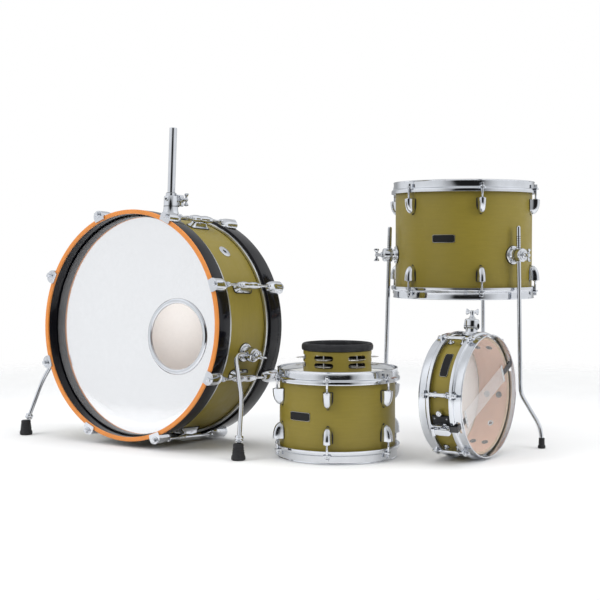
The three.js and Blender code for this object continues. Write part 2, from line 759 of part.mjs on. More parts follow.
function makeSnareDrum() {
  const drum = snareFrame();
  const { depth, shellRadius, segments, lugEnd } = SNARE;
  const middle = depth / 2;
  const edge = middle - RIM.headDepth - FILM;
  const bearings = stations(6, SNARE_LUGS).map(lying);
  const shell = ring(shellRadius - SHELL_WALL, shellRadius, -edge + GAP, edge - GAP, segments);
  add(drum, "snare_shell", shell, OLIVE);
  add(drum, "snare_resonant_head", drumhead(SNARE, edge), CLEAR_FILM);
  add(drum, "snare_batter_head", otherSide(drumhead(SNARE, edge)), WHITE_FILM);

  const [throwTurn, buttTurn] = [THROW_OFF, BUTT].map(lying);
  const gate = block(
    [shellRadius, shellRadius + 2 * RIM.flangeOut],
    [-STRAP.gateHalfWidth, STRAP.gateHalfWidth],
    [edge, edge + 7],
  );
  const gates = [throwTurn, buttTurn].map((turn) => atBearing(gate.clone(), turn));
  const wireRim = cut(rimSet(SNARE, middle, bearings, lugEnd + GAP, []), ...gates);
  add(drum, "snare_resonant_rim", wireRim, CHROME);
  const lugs = [tubeLug(shellRadius, lugEnd)];
  const batterRim = rimSet(SNARE, middle, reversed(bearings), lugEnd - OVERLAP, lugs);
  add(drum, "snare_batter_rim", otherSide(batterRim), CHROME);

  const outside = shellRadius + STRAP.out;
  const wires = snareWires(edge + FILM + GAP, outside);
  add(drum, "snare_wires", atBearing(wires, throwTurn), CHROME);
  add(drum, "snare_throw_off", atBearing(throwOff(outside), throwTurn), CHROME);
  add(drum, "snare_throw_off_lever", atBearing(throwOffLever(outside), throwTurn), CHROME);
  add(drum, "snare_butt_plate", atBearing(buttPlate(outside), buttTurn), CHROME);

  const eyeRadius = shellRadius + SNARE.eyeOut;
  const bracketTurn = lying(SNARE_BRACKET);
  add(drum, "snare_bracket", atBearing(eyeBracket(shellRadius, eyeRadius, LEG_BORE), bracketTurn), CHROME);
  add(drum, "snare_wing_bolt", atBearing(wingBolt(capFace(eyeRadius, LEG_BORE)), bracketTurn), CHROME);
}

// ---- Jingle drum --------------------------------------------------------------------------------

function jingleShell(bearings) {
  const { shellRadius, wall, foot, shellTop, slotWidth, slotHeight, rows, segments } = JINGLE_DRUM;
  const slotsAt = (bearing) =>
    rows.map((height) => {
      const slot = block(
        [shellRadius - 2 * wall, shellRadius + wall],
        [-slotWidth / 2, slotWidth / 2],
        [height - slotHeight / 2, height + slotHeight / 2],
      );
      return atBearing(slot, bearing);
    });
  const tube = ring(shellRadius - wall, shellRadius, foot, shellTop, segments);
  const shell = cut(tube, ...bearings.flatMap(slotsAt));

  const pinRadius = shellRadius - wall / 2;
  const jinglesAt = (bearing) => {
    const pin = rod(JINGLE.pin, rows[0] - slotHeight, rows[1] + slotHeight);
    const plates = rows.map((height) => {
      const low = height - JINGLE.below;
      return rod(JINGLE.radius, low, low + JINGLE.thickness, TUBE_SIDES);
    });
    return [pin, ...plates].map((piece) => atBearing(piece.translate(pinRadius, 0, 0), bearing));
  };
  return join(shell, ...bearings.flatMap(jinglesAt));
}

function makeJingleDrum() {
  const { shellTop, ringRadius, ringTop, segments, firstStation } = JINGLE_DRUM;
  const { film, ringWidth, rounding, shoulder } = JINGLE_HEAD;
  const drum = groupAt(...RACK_TOM.place, 0);
  const bearings = stations(6, firstStation).map(standing);
  add(drum, "jingle_drum_shell", jingleShell(bearings), OLIVE);

  const head = turned(
    [
      [0, shellTop + GAP],
      [ringRadius, shellTop + GAP],
      [ringRadius, ringTop - rounding],
      [ringRadius - rounding, ringTop],
      [ringRadius - shoulder, ringTop],
      [ringRadius - ringWidth, shellTop + film],
      [0, shellTop + film],
    ],
    segments,
  );
  add(drum, "jingle_drum_head", head, RUBBER);
}

// ---- The kit ------------------------------------------------------------------------------------

makeBassDrum();
makeFloorTom();
makeRackTom();
makeSnareDrum();
makeJingleDrum();

// The origin goes to the middle of the kit's footprint, on the floor.
kit.updateMatrixWorld(true);
const box = new THREE.Box3().setFromObject(layout, true);
const middleOfKit = box.getCenter(new THREE.Vector3());
layout.position.set(-middleOfKit.x, -middleOfKit.y, -box.min.z);

export default kit;
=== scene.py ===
"""Looks of the acoustic drum kit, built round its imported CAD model.

Shapes are drawn in millimetres in each drum's own frame, with +Z along the drum's axis, and come out
in metres. A feature on a shell is drawn with +X pointing out of the shell.
"""
import json
import math
import random

import bmesh
import bpy
from mathutils import Matrix, Vector


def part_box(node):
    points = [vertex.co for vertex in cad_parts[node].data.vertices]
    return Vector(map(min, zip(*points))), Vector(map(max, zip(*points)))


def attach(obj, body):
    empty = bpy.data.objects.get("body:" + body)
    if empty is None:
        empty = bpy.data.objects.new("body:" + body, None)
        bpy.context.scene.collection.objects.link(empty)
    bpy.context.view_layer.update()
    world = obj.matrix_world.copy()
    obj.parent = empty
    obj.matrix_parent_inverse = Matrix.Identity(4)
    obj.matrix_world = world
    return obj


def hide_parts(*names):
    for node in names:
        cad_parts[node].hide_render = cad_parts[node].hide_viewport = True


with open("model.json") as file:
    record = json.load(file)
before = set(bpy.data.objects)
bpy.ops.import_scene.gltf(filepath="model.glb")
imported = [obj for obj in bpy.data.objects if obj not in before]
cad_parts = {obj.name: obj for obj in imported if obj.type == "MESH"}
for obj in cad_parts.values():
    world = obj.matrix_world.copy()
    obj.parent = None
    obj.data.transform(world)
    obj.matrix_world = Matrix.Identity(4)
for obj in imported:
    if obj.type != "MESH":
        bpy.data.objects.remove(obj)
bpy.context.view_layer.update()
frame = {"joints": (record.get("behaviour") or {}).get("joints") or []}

MM = 0.001
random.seed(11)

# ---- Driving dimensions of the model, in millimetres --------------------------------------------

GAP = 0.3
FILM = 0.6
SHELL_WALL = 7
BASS = dict(shell=254, half_shell=89, hoop=266, hoop_wall=10, hoop_width=44, half_depth=119.5, inlay=5,
            flesh_height=10, flesh_out=261, rod_circle=274, first_station=23.8, stations=8)
PORT = dict(across=126, up=-21, radius=75, ring=86.5)
# The tom post and its holder stand behind the middle of the bass drum's shell.
POST = dict(radius=9, bore=7, low=205, high=472, behind=21, holder_top=316)
HOLDER_WING = dict(start=11, height=302, behind=27)
# A spur is straight between two heights along the drum's axis, then it runs through a knee to its end;
# these two count out from the drum's middle, forwards and up from the floor.
SPUR = dict(angle=101.8, eye=271.5, rod=5, straight=(-24, 56), knee=(308, 90, 129), end=(325, 122, 36.5),
            foot_top=11, foot_radius=15.5, foot_height=35.5)
FLOOR_TOM = dict(shell=164, height=278.1, first_lug=6.6, badge=(-23.6, 477 - 474.65))
RACK_TOM = dict(shell=127, height=195, first_lug=-10.7, badge=(-41, 0))
LEG = dict(rod=5, top_radius=181, bend_radius=191, foot_radius=258, top=504, bend=119, bracket=439,
           bearings=(36.6, 156.6, 276.6))
LEG_SLOPE = (LEG["bend_radius"] - LEG["top_radius"]) / (LEG["top"] - LEG["bend"])
SNARE = dict(shell=127, depth=101.9, first_lug=35, bracket=5, eye=149, throw_off=-115, butt=65, badge=-55,
             heading=55.4, vent=127)
SNARE_LEVER = dict(out=154.3, along=-11)
RIM = dict(head_depth=13, wall=1.8, wall_out=4.8, flange_out=10.5, wall_depth=18.5, depth=28,
           rod_out=12.5, rod=2.6)
LUG = dict(half_width=10, length=36, proud=23, from_edge=43.5)
JINGLE_DRUM = dict(shell=75, wall=6, foot=183, top=232, ring=79, ring_top=248, slot_width=45, slot_height=11,
                   rows=(202, 218), first=-26)
RACK_BRACKET = dict(bearing=139.3, eye=161)
# Round the eye of a bracket: its least radius, the wall outside its rod and the height of its cap.
EYE = dict(outer=14, wall=6, cap=3)

SEEN_WALL = 1.0
ROOM_LIGHT = 0.42
SIDE_LIGHT = 0.5
TOP_LIGHT = 0.8
DARK_WALL = 0.035
# The camera, in metres from the middle of the bass drum and above the floor, and its fall in degrees.
CAMERA = dict(sensor=36, lens=74.9, right=0.329, back=2.957, height=0.4521, fall=2.318)

# ---- Vectors and frames -------------------------------------------------------------------------


def centre_of(node):
    low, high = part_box(node)
    return (Vector(low) + Vector(high)) / 2


def frame_at(place, across=(1, 0, 0), up=(0, 1, 0), axis=(0, 0, 1)):
    """A rigid frame in metres: its X, Y and Z axes and its origin."""
    turn = Matrix((across, up, axis)).transposed().to_4x4()
    return Matrix.Translation(place) @ turn


def joint_axis(name):
    for joint in frame["joints"]:
        if joint["name"] == name:
            return Vector(joint["axis"]).normalized()
    raise KeyError(name)


bass_front = joint_axis("spur_fold_right")
bass_up = joint_axis("tom_post_slide")
BASS_FRAME = frame_at(centre_of("bass_drum_shell"), bass_up.cross(bass_front), bass_up, bass_front)
FLOOR_FRAME = frame_at(centre_of("floor_tom_shell"))
RACK_FRAME = frame_at(centre_of("rack_tom_shell"))
JINGLE_FRAME = frame_at(centre_of("rack_tom_shell") * Vector((1, 1, 0)))
heading = math.radians(SNARE["heading"])
SNARE_FRAME = frame_at(centre_of("snare_shell"), (math.cos(heading), math.sin(heading), 0), (0, 0, 1),
                       (math.sin(heading), -math.cos(heading), 0))


def standing(bearing):
    """On a standing drum a bearing counts from -Y towards +X."""
    return math.radians(bearing - 90)


def lying(bearing):
    """On a lying drum a bearing counts clockwise from the top."""
    return math.radians(90 - bearing)


def turned(angle, out=0.0, along=0.0):
    """Placement of a feature at a bearing, so far out and so far along the drum's axis."""
    return Matrix.Rotation(angle, 4, "Z") @ Matrix.Translation((out * MM, 0, along * MM))


SAME = Matrix.Identity(4)
FLIP = Matrix.Rotation(math.pi, 4, "X")
# What was drawn along +Z comes to point along +X, -X, +Y or -Y.
X_OUT = Matrix.Rotation(math.pi / 2, 4, "Y")
X_IN = Matrix.Rotation(-math.pi / 2, 4, "Y")
Y_OUT = Matrix.Rotation(-math.pi / 2, 4, "X")
Y_IN = Matrix.Rotation(math.pi / 2, 4, "X")
# An outline drawn in X and Y comes to lie in Y and Z, and its height points along +X.
FACING_OUT = Matrix(((0, 0, 1, 0), (1, 0, 0, 0), (0, 1, 0, 0), (0, 0, 0, 1)))


def stations(count, first):
    return [first + 360 * i / count for i in range(count)]


# ---- Meshes -------------------------------------------------------------------------------------


class Shape:
    """Vertices in millimetres and faces, each face with the number of its material."""

    def __init__(self, points=(), faces=(), materials=()):
        self.points = list(points)
        self.faces = list(faces)
        self.materials = list(materials)

    def add(self, points, faces, material=0):
        base = len(self.points)
        self.points += [Vector(p) for p in points]
        self.faces += [[base + i for i in face] for face in faces]
        self.materials += [material] * len(faces)
        return self

    def moved(self, matrix):
        """A copy placed by a matrix whose translation is in metres."""
        full = Matrix.Scale(1 / MM, 4) @ matrix @ Matrix.Scale(MM, 4)
        return Shape([full @ p for p in self.points], self.faces, self.materials)

    def shifted(self, x=0.0, y=0.0, z=0.0):
        return self.moved(Matrix.Translation((x * MM, y * MM, z * MM)))

    def painted(self, material):
        self.materials = [material] * len(self.faces)
        return self

    def __add__(self, other):
        base = len(self.points)
        faces = [[base + i for i in face] for face in other.faces]
        return Shape(self.points + other.points, self.faces + faces, self.materials + other.materials)


def together(shapes):
    return sum(shapes, Shape())


def angles(count):
    return [2 * math.pi * k / count for k in range(count)]


def bend(start, corner, end, steps):
    """Points of a smooth bend from its start round a corner to its end."""
    return [start * (1 - t) ** 2 + corner * 2 * t * (1 - t) + end * t ** 2
            for t in (k / steps for k in range(steps + 1))]


def softened(corners, radius, steps=3, closed=True):
    """A 2D outline with its corners rounded. Each corner may give its own radius as a third value."""
    rounded = []
    count = len(corners)
    for i, corner in enumerate(corners):
        here = Vector(corner[:2])
        wanted = corner[2] if len(corner) > 2 else radius
        if wanted <= 0 or (not closed and i in (0, count - 1)):
            rounded.append(here)
            continue
        back = Vector(corners[i - 1][:2]) - here
        ahead = Vector(corners[(i + 1) % count][:2]) - here
        reach = min(wanted, back.length * 0.48, ahead.length * 0.48)
        rounded += bend(here + back.normalized() * reach, here, here + ahead.normalized() * reach, steps)
    return rounded


def lathe(profile, segments=96, closed=True, radius=None, material=None):
    """Revolves [radius, height] points about +Z. An open profile starts and ends on the axis.

    radius(point, angle) may vary the radius round the axis, and material(point) numbers the bands."""
    shape = Shape()
    count = len(profile)
    for angle in angles(segments):
        for i, (r, z) in enumerate(profile):
            out = radius(i, r, angle) if radius else r
            shape.points.append(Vector((out * math.cos(angle), out * math.sin(angle), z)))
    for k in range(segments):
        here = k * count
        there = ((k + 1) % segments) * count
        for i in range(count if closed else count - 1):
            j = (i + 1) % count
            shape.faces.append([here + i, there + i, there + j, here + j])
            shape.materials.append(material(profile[i], profile[j]) if material else 0)
    return shape


def ring_of(corners, edge, segments, steps=3, **more):
    """A solid of revolution round the axis, from a closed outline with its corners rounded."""
    return lathe(softened(corners, edge, steps), segments, **more)


def solid_of(corners, edge, segments, **more):
    """A solid of revolution with its corners rounded, whose outline starts and ends on the axis."""
    return lathe(softened(corners, edge, closed=False), segments, closed=False, **more)


def extruded(outline, low, high):
    """A flat outline in X and Y, from one height to another."""
    count = len(outline)
    points = [Vector((p[0], p[1], low)) for p in outline] + [Vector((p[0], p[1], high)) for p in outline]
    sides = [[i, (i + 1) % count, count + (i + 1) % count, count + i] for i in range(count)]
    return Shape().add(points, sides + [list(range(count))[::-1], list(range(count, 2 * count))])


def loft(sections):
    """Closed loops of equal length joined one to the next, and closed at both ends."""
    count = len(sections[0])
    shape = Shape()
    for loop in sections:
        shape.points += [Vector(p) for p in loop]
    for s in range(len(sections) - 1):
        for i in range(count):
            j = (i + 1) % count
            a, b = s * count, (s + 1) * count
            shape.faces.append([a + i, a + j, b + j, b + i])
    last = (len(sections) - 1) * count
    shape.faces.append(list(range(count))[::-1])
    shape.faces.append(list(range(last, last + count)))
    return shape.painted(0)


def rectangle(x, y, inset=0.0):
    """The corners of a rectangle between two pairs of limits."""
    left, right, low, high = x[0] + inset, x[1] - inset, y[0] + inset, y[1] - inset
    return [(left, low), (right, low), (right, high), (left, high)]


def slab(x, y, z, edge=1.0):
    """A block with rounded edges all round, between pairs of limits."""
    inset = min(edge, (x[1] - x[0]) * 0.45, (y[1] - y[0]) * 0.45, (z[1] - z[0]) * 0.45)
    steps = 3
    sections = []
    for end, inwards in ((z[0], 1), (z[1], -1)):
        for k in range(steps + 1):
            a = math.pi / 2 * (k / steps if inwards > 0 else 1 - k / steps)
            sections.append((inset * (1 - math.sin(a)), end + inwards * inset * (1 - math.cos(a))))
    return loft([[(p.x, p.y, height) for p in softened(rectangle(x, y, shrink), max(inset - shrink, 0.05))]
                 for shrink, height in sections])


def cylinder(radius, low, high, edge=0.6, segments=24):
    return solid_of([(0, low, 0), (radius, low), (radius, high), (0, high, 0)], edge, segments)


def ring(inner, outer, low, high, edge=0.6, segments=64):
    return ring_of([(inner, low), (outer, low), (outer, high), (inner, high)], edge, segments)


def tube(path, radius, sides=16, rounded_start=False):
    """A round rod along a smooth path of points."""
    points = [Vector(p) for p in path]
    tangent = (points[1] - points[0]).normalized()
    side = tangent.orthogonal().normalized()
    loops = []
    for i, point in enumerate(points):
        ahead = points[min(i + 1, len(points) - 1)] - points[max(i - 1, 0)]
        turn = tangent.rotation_difference(ahead.normalized())
        side = turn @ side
        tangent = ahead.normalized()
        over = tangent.cross(side)
        loops.append([point + radius * (side * math.cos(a) + over * math.sin(a)) for a in angles(sides)])
    if rounded_start:
        first = points[0] - (points[1] - points[0]).normalized() * radius * 0.5
        loops.insert(0, [first + (p - points[0]) * 0.6 for p in loops[0]])
    return loft(loops)


def bent_path(corners, reach, steps=8):
    """Straight stretches with round bends between them, as points 12 mm apart at the most."""
    points = [Vector(c) for c in corners]
    path = [points[0]]
    for before, here, after in zip(points, points[1:], points[2:]):
        start = here + (before - here).normalized() * reach
        path += bend(start, here, here + (after - here).normalized() * reach, steps)
    path.append(points[-1])
    spacing = 12
    dense = [path[0]]
    for here, there in zip(path, path[1:]):
        parts = max(1, int((there - here).length / spacing))
        dense += [here.lerp(there, (k + 1) / parts) for k in range(parts)]
    return dense


def raw_mesh(name, shape, finishes, merge):
    """A mesh of a shape in metres, with its faces turned outwards."""
    mesh = bpy.data.meshes.new(name)
    mesh.from_pydata([tuple(p * MM) for p in shape.points], [], shape.faces)
    for finish in finishes:
        mesh.materials.append(finish)
    for face, number in zip(mesh.polygons, shape.materials):
        face.material_index = number
    tidy = bmesh.new()
    tidy.from_mesh(mesh)
    if merge:
        bmesh.ops.remove_doubles(tidy, verts=tidy.verts, dist=1e-6)
        bmesh.ops.dissolve_degenerate(tidy, edges=tidy.edges, dist=1e-7)
    bmesh.ops.recalc_face_normals(tidy, faces=tidy.faces)
    tidy.to_mesh(mesh)
    tidy.free()
    return mesh


def mesh_of(name, shape, finishes, smooth=35.0):
    mesh = raw_mesh(name, shape, finishes, True)
    mesh.shade_smooth()
    mesh.set_sharp_from_angle(angle=math.radians(smooth))
    return mesh


def added(name, data):
    obj = bpy.data.objects.new(name, data)
    bpy.context.collection.objects.link(obj)
    return obj


def piece(name, shape, finishes, body, place, nodes=(), smooth=35.0):
    """One visible piece: its shape or mesh, its frame, the body that it rides on and the CAD nodes it is."""
    mesh = shape if isinstance(shape, bpy.types.Mesh) else mesh_of(name, shape, finishes, smooth)
    obj = added(name, mesh)
    obj.matrix_world = place
    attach(obj, body)
    if nodes:
        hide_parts(*nodes)
    return obj


# ---- Finishes -----------------------------------------------------------------------------------


def shader_node(tree, kind, output, wires, values=(), **settings):
    """Adds a node with its settings, socket values and wires, and gives one of its outputs."""
    node = tree.nodes.new("ShaderNode" + kind)
    for name, value in settings.items():
        setattr(node, name, value)
    for socket, value in dict(values).items():
        node.inputs[socket].default_value = value
    for socket, source in wires.items():
        tree.links.new(source, node.inputs[socket])
    return node.outputs[output]


class Finish:
    """A Principled material built from noise in the piece's own coordinates."""

    def __init__(self, name, colour, roughness, metallic=0.0, **sockets):
        self.material = bpy.data.materials.new(name)
        self.material.use_nodes = True
        self.tree = self.material.node_tree
        self.shader = self.tree.nodes["Principled BSDF"]
        self.shader.inputs["Metallic"].default_value = metallic
        for socket, value in sockets.items():
            self.shader.inputs[socket.replace("_", " ")].default_value = value
        self.place = self.tree.nodes.new("ShaderNodeTexCoord").outputs["Object"]
        self.colour = self.tree.nodes.new("ShaderNodeRGB").outputs[0]
        self.colour.default_value = (*colour, 1)
        self.roughness = roughness
        self.normal = None
        self.base = colour

    def node(self, *description, **settings):
        return shader_node(self.tree, *description, **settings)

    def scaled(self, stretch):
        return self.node("Mapping", 0, {"Vector": self.place}, {"Scale": stretch})

    def noise(self, scale, detail=4.0, stretch=(1, 1, 1), low=0.35, high=0.65):
        values = {"Scale": scale, "Detail": detail, "Roughness": 0.55}
        return self.mapped(self.node("TexNoise", "Fac", {"Vector": self.scaled(stretch)}, values), low, high)

    def bands(self, scale, stretch, distortion):
        values = {"Scale": scale, "Distortion": distortion, "Detail": 3}
        return self.mapped(self.node("TexWave", "Fac", {"Vector": self.scaled(stretch)}, values), 0.2, 0.9)

    def edges(self, low, high):
        return self.mapped(self.node("NewGeometry", "Pointiness", {}), low, high)

    def mapped(self, value, low, high, new_low=0, new_high=1):
        limits = {"From Min": low, "From Max": high, "To Min": new_low, "To Max": new_high}
        return self.node("MapRange", "Result", {"Value": value}, limits)

    def product(self, amount, factor):
        return self.node("Math", 0, {0: amount}, {1: factor}, operation="MULTIPLY")

    def tint(self, amount, colour):
        """Mixes another colour in where amount is high."""
        wires = {"Factor": amount, "A": self.colour}
        self.colour = self.node("Mix", "Result", wires, {"B": (*colour, 1)}, data_type="RGBA")
        return self

    def shade(self, amount, factor):
        """Darkens or lightens the base colour where amount is high."""
        return self.tint(amount, tuple(min(1.0, c * factor) for c in self.base))

    def rough(self, amount, to):
        """Roughness runs from its plain value to another one where amount is high."""
        out = self.mapped(amount, 0, 1, self.roughness, to)
        self.tree.links.new(out, self.shader.inputs["Roughness"])
        return self

    def bump(self, height, depth):
        """Relief of a given depth in metres."""
        wires = {"Height": height}
        if self.normal is not None:
            wires["Normal"] = self.normal
        self.normal = self.node("Bump", "Normal", wires, {"Distance": depth, "Strength": 1.0})
        return self

    def done(self):
        self.tree.links.new(self.colour, self.shader.inputs["Base Color"])
        if not self.shader.inputs["Roughness"].is_linked:
            self.shader.inputs["Roughness"].default_value = self.roughness
        if self.normal is not None:
            self.tree.links.new(self.normal, self.shader.inputs["Normal"])
        return self.material


def make_olive():
    f = Finish("olive_lacquer", (0.215, 0.168, 0.022), 0.42, Coat_Weight=0.12, Coat_Roughness=0.25,
               Specular_IOR_Level=0.35)
    grain = f.noise(26, 5, (1, 1, 9), 0.3, 0.7)
    f.shade(f.noise(3.2, 2), 1.1).shade(f.product(grain, 0.22), 0.72)
    f.tint(f.product(f.noise(170, 2, low=0.62, high=0.75), 0.12), (0.30, 0.24, 0.06))
    f.tint(f.product(f.edges(0.54, 0.66), 0.5), (0.42, 0.33, 0.15))
    return f.rough(f.noise(38, 4), 0.54).bump(f.noise(420, 3), 0.00004).bump(grain, 0.00003).done()


def make_inner_wood(name, colour, pale):
    f = Finish(name, colour, 0.6)
    grain = f.noise(14, 6, (1, 1, 14), 0.3, 0.7)
    f.shade(f.product(grain, 0.6), 0.78).tint(f.product(f.noise(5, 3), 0.4), pale)
    return f.rough(grain, 0.7).bump(grain, 0.0001).bump(f.noise(300, 3), 0.00006).done()


def make_ply_edge():
    f = Finish("ply_edge", (0.60, 0.43, 0.28), 0.6)
    f.shade(f.bands(180, (0, 0, 1), 0.4), 0.55).shade(f.noise(60, 4), 0.8)
    return f.rough(f.noise(90, 3), 0.75).bump(f.noise(260, 3), 0.00008).done()


def make_metal(name, colour, roughness, smudged, scratches=0.00001, scale=30):
    f = Finish(name, colour, roughness, 1.0)
    f.shade(f.product(f.noise(scale, 3), 0.5), 0.86)
    f.rough(f.noise(scale * 1.7, 5, low=0.45, high=0.8), smudged)
    return f.bump(f.noise(scale * 14, 3, (1, 1, 0.3)), scratches).done()


def make_gloss(name, colour, roughness, worn, edge, **sockets):
    f = Finish(name, colour, roughness, Coat_Roughness=0.04, **sockets)
    f.tint(f.product(f.noise(40, 4), 0.25), tuple(min(1.0, c * 1.35 + 0.003) for c in colour))
    f.tint(f.product(f.edges(0.56, 0.7), 0.55), edge)
    return f.rough(f.noise(55, 4, low=0.45, high=0.75), worn).bump(f.noise(340, 3), 0.00001).done()


def make_film(name, colour, roughness, ripple, grain, metallic=0.0, **sockets):
    f = Finish(name, colour, roughness, metallic, **sockets)
    f.shade(f.product(f.noise(7, 3), 0.5), 0.965).shade(f.product(f.noise(120, 3), 0.5), 0.95)
    f.rough(f.noise(24, 4), roughness * 1.7)
    return f.bump(f.noise(9, 2), ripple).bump(f.noise(900, 2), grain).done()


def make_rubber(name, colour=(0.009, 0.009, 0.011)):
    f = Finish(name, colour, 0.5, Specular_IOR_Level=0.45)
    f.tint(f.product(f.noise(50, 5), 0.4), (0.024, 0.024, 0.026))
    f.tint(f.product(f.edges(0.54, 0.66), 0.35), (0.045, 0.045, 0.048))
    return f.rough(f.noise(80, 4), 0.72).bump(f.noise(600, 3), 0.00006).done()


def make_strap():
    f = Finish("woven_strap", (0.02, 0.02, 0.022), 0.8, Sheen_Weight=0.3)
    weave = f.bands(420, (1, 1, 1), 0.0)
    f.tint(f.product(weave, 0.5), (0.07, 0.07, 0.075))
    return f.rough(weave, 0.65).bump(weave, 0.00015).done()


def make_plate():
    f = Finish("badge_black", (0.006, 0.006, 0.007), 0.45, Specular_IOR_Level=0.25)
    f.tint(f.product(f.edges(0.54, 0.64), 0.6), (0.05, 0.05, 0.05))
    f.tint(f.product(f.noise(90, 3), 0.3), (0.014, 0.014, 0.014))
    return f.rough(f.noise(120, 3), 0.55).bump(f.noise(700, 3), 0.00003).done()


OLIVE = make_olive()
PLATE = make_plate()
INNER = make_inner_wood("inner_wood", (0.74, 0.46, 0.33), (0.80, 0.54, 0.40))
# A paler copy of the inner wood for the bass drum's inside: painted light for the daylight through its white
# heads.
LIT_INNER_WOOD = make_inner_wood("painted_lit_inner_wood", (0.74, 0.60, 0.52), (0.80, 0.68, 0.60))
# Near-black inner wood for the inside of the jingle drum and the cut faces of its slots.
NEAR_BLACK_INNER_WOOD = make_inner_wood("near_black_inner_wood", (0.022, 0.013, 0.007), (0.035, 0.022, 0.012))
PLY = make_ply_edge()
CHROME = make_metal("chrome", (0.70, 0.72, 0.76), 0.08, 0.16, 0.000004)
STEEL = make_metal("satin_steel", (0.66, 0.67, 0.68), 0.28, 0.4, 0.00001, 45)
JINGLE = make_metal("jingle_plate", (0.90, 0.88, 0.84), 0.2, 0.34, 0.00012, 28)
WIRE = make_metal("coiled_wire", (0.93, 0.93, 0.93), 0.45, 0.6, 0.00002, 60)
# Dark metal for the screws inside the shells and the lever's caps, and painted shade in the leg's knurl.
SCREW_METAL_AND_SHADE = make_metal("screw_metal_and_painted_shade", (0.045, 0.045, 0.055), 0.4, 0.55, 0.00002, 60)
# Dark rubber for real black parts, such as gaskets, the holder's liner and the strainer's base, and painted
# shade in holes, screw recesses, grooves, bores and the stud's socket.
DARK_PARTS_AND_SHADE = make_rubber("recess", (0.006, 0.006, 0.007))
BLACK = make_gloss("black_lacquer", (0.003, 0.003, 0.005), 0.1, 0.2, (0.02, 0.02, 0.024), Coat_Weight=0.12,
                   Specular_IOR_Level=0.2)
ORANGE = make_gloss("orange_lacquer", (0.64, 0.215, 0.03), 0.3, 0.42, (0.9, 0.5, 0.22), Coat_Weight=0.25)
MIRROR = make_film("mirror_white_film", (0.90, 0.905, 0.92), 0.05, 0.000004, 0.0000005, metallic=0.85)
COATED = make_film("coated_film", (0.80, 0.80, 0.79), 0.5, 0.0001, 0.00005)
CLEAR = make_film("clear_film", (0.88, 0.86, 0.84), 0.07, 0.00008, 0.000002, Alpha=0.12)
# Black rubber for feet, gaskets and rubber rims, and painted shade on the cut faces of the eye brackets'
# bores and grooves and at the snare lugs' bases.
RUBBER_AND_SHADE = make_rubber("black_rubber")
STRAP = make_strap()

# ---- Cutting ------------------------------------------------------------------------------------


def carved(shape, cutters):
    """A closed shape with closed cutters taken out of it. The cut faces keep the cutters' material."""
    made = [added("carving", raw_mesh("carving", part, [None] * 3, False)) for part in (shape, cutters)]
    body, tool = made
    cut = body.modifiers.new("cut", "BOOLEAN")
    cut.operation = "DIFFERENCE"
    cut.solver = "EXACT"
    cut.material_mode = "INDEX"
    cut.object = tool
    bpy.context.view_layer.update()
    result = body.evaluated_get(bpy.context.evaluated_depsgraph_get()).to_mesh()
    out = Shape([v.co / MM for v in result.vertices], [list(face.vertices) for face in result.polygons],
                [face.material_index for face in result.polygons])
    body.to_mesh_clear()
    for obj in made:
        mesh = obj.data
        bpy.data.objects.remove(obj)
        bpy.data.meshes.remove(mesh)
    return out


# ---- Fittings that several drums share ----------------------------------------------------------


def threads(radius, low, high):
    """A short threaded stretch of a rod, as fine rings."""
    pitch, depth = 1.1, 0.35
    profile = [(0, low)]
    count = max(2, int((high - low) / pitch))
    for i in range(count):
        z = low + (high - low) * i / count
        profile += [(radius - depth, z), (radius, z + (high - low) / count / 2)]
    profile += [(radius - depth, high), (0, high)]
    return lathe(profile, 12, closed=False)


def tension_rod(low, threads_to, head):
    """A key rod: threads at its low end, a collar, a washer and a square head on top."""
    radius = RIM["rod"]
    stem = cylinder(radius, threads_to - 0.5, head + 1, 0.2, 14)
    washer = ring(radius, 6.2, head - 1.4, head, 0.5, 24)
    collar = solid_of([(0, head, 0), (5.4, head), (5.2, head + 2.2), (4, head + 3.2), (0, head + 3.2, 0)],
                      0.7, 24)
    key = slab((-3, 3), (-3, 3), (head + 2.6, head + 9.2), 0.7)
    return threads(radius, low, threads_to) + stem + washer + collar + key


def screw(radius, proud):
    """A domed screw head along +Z with a cross recess, drawn as two raised bars in the second finish: painted
    shade in the recess.
    """
    outline = [(0, -1.5), (radius, -1.5), (radius, 0.2)]
    outline += [(radius * math.cos(a), 0.2 + proud * math.sin(a)) for a in (0.25, 0.6, 0.95, 1.25)]
    head = lathe(outline + [(0, 0.2 + proud)], 20, closed=False)
    slot = slab((-radius * 0.62, radius * 0.62), (-radius * 0.13, radius * 0.13),
                (proud * 0.5, proud + 0.35), 0.1)
    return head + slot.painted(1) + slot.moved(turned(math.pi / 2)).painted(1)


def screws(radius, proud, out, places):
    """Screw heads on a face that points along +X, at [across, along] places."""
    return together(screw(radius, proud).moved(X_OUT).shifted(out, y, z) for y, z in places)


def wing_bolt(start):
    """A T-shaped wing bolt along +X from the given distance, its two arms along Z."""
    hub_profile = [(0, 0.4, 0), (7.2, 0.4), (7.2, 2.0), (5.0, 3.4), (4.1, 7.5), (4.4, 10.4), (4.6, 15.4),
                   (3.4, 17.2), (0, 17.4, 0)]
    hub = solid_of(hub_profile, 1.0, 28)
    arms = Shape()
    for side in (-1, 1):
        loops = []
        # Each arm leaves the hub flat and ends in a thicker round pad.
        for k in range(13):
            t = k / 12
            swell = math.sin(math.pi * max(0.0, (t - 0.35) / 0.65) * 0.62)
            tip = math.sqrt(max(0.03, 1 - max(0, (t - 0.86) / 0.14) ** 2))
            half_out = (3.0 + 3.8 * swell) * tip
            half_thick = (1.8 + 0.8 * swell) * tip
            out, along = 13.2 + 0.9 * t, side * (2.0 + 13.6 * t)
            loops.append([(out + half_out * math.cos(a), half_thick * math.sin(a), along)
                          for a in angles(16)])
        arms = arms + loft(loops)
    return (hub.moved(X_OUT) + arms).shifted(x=start)


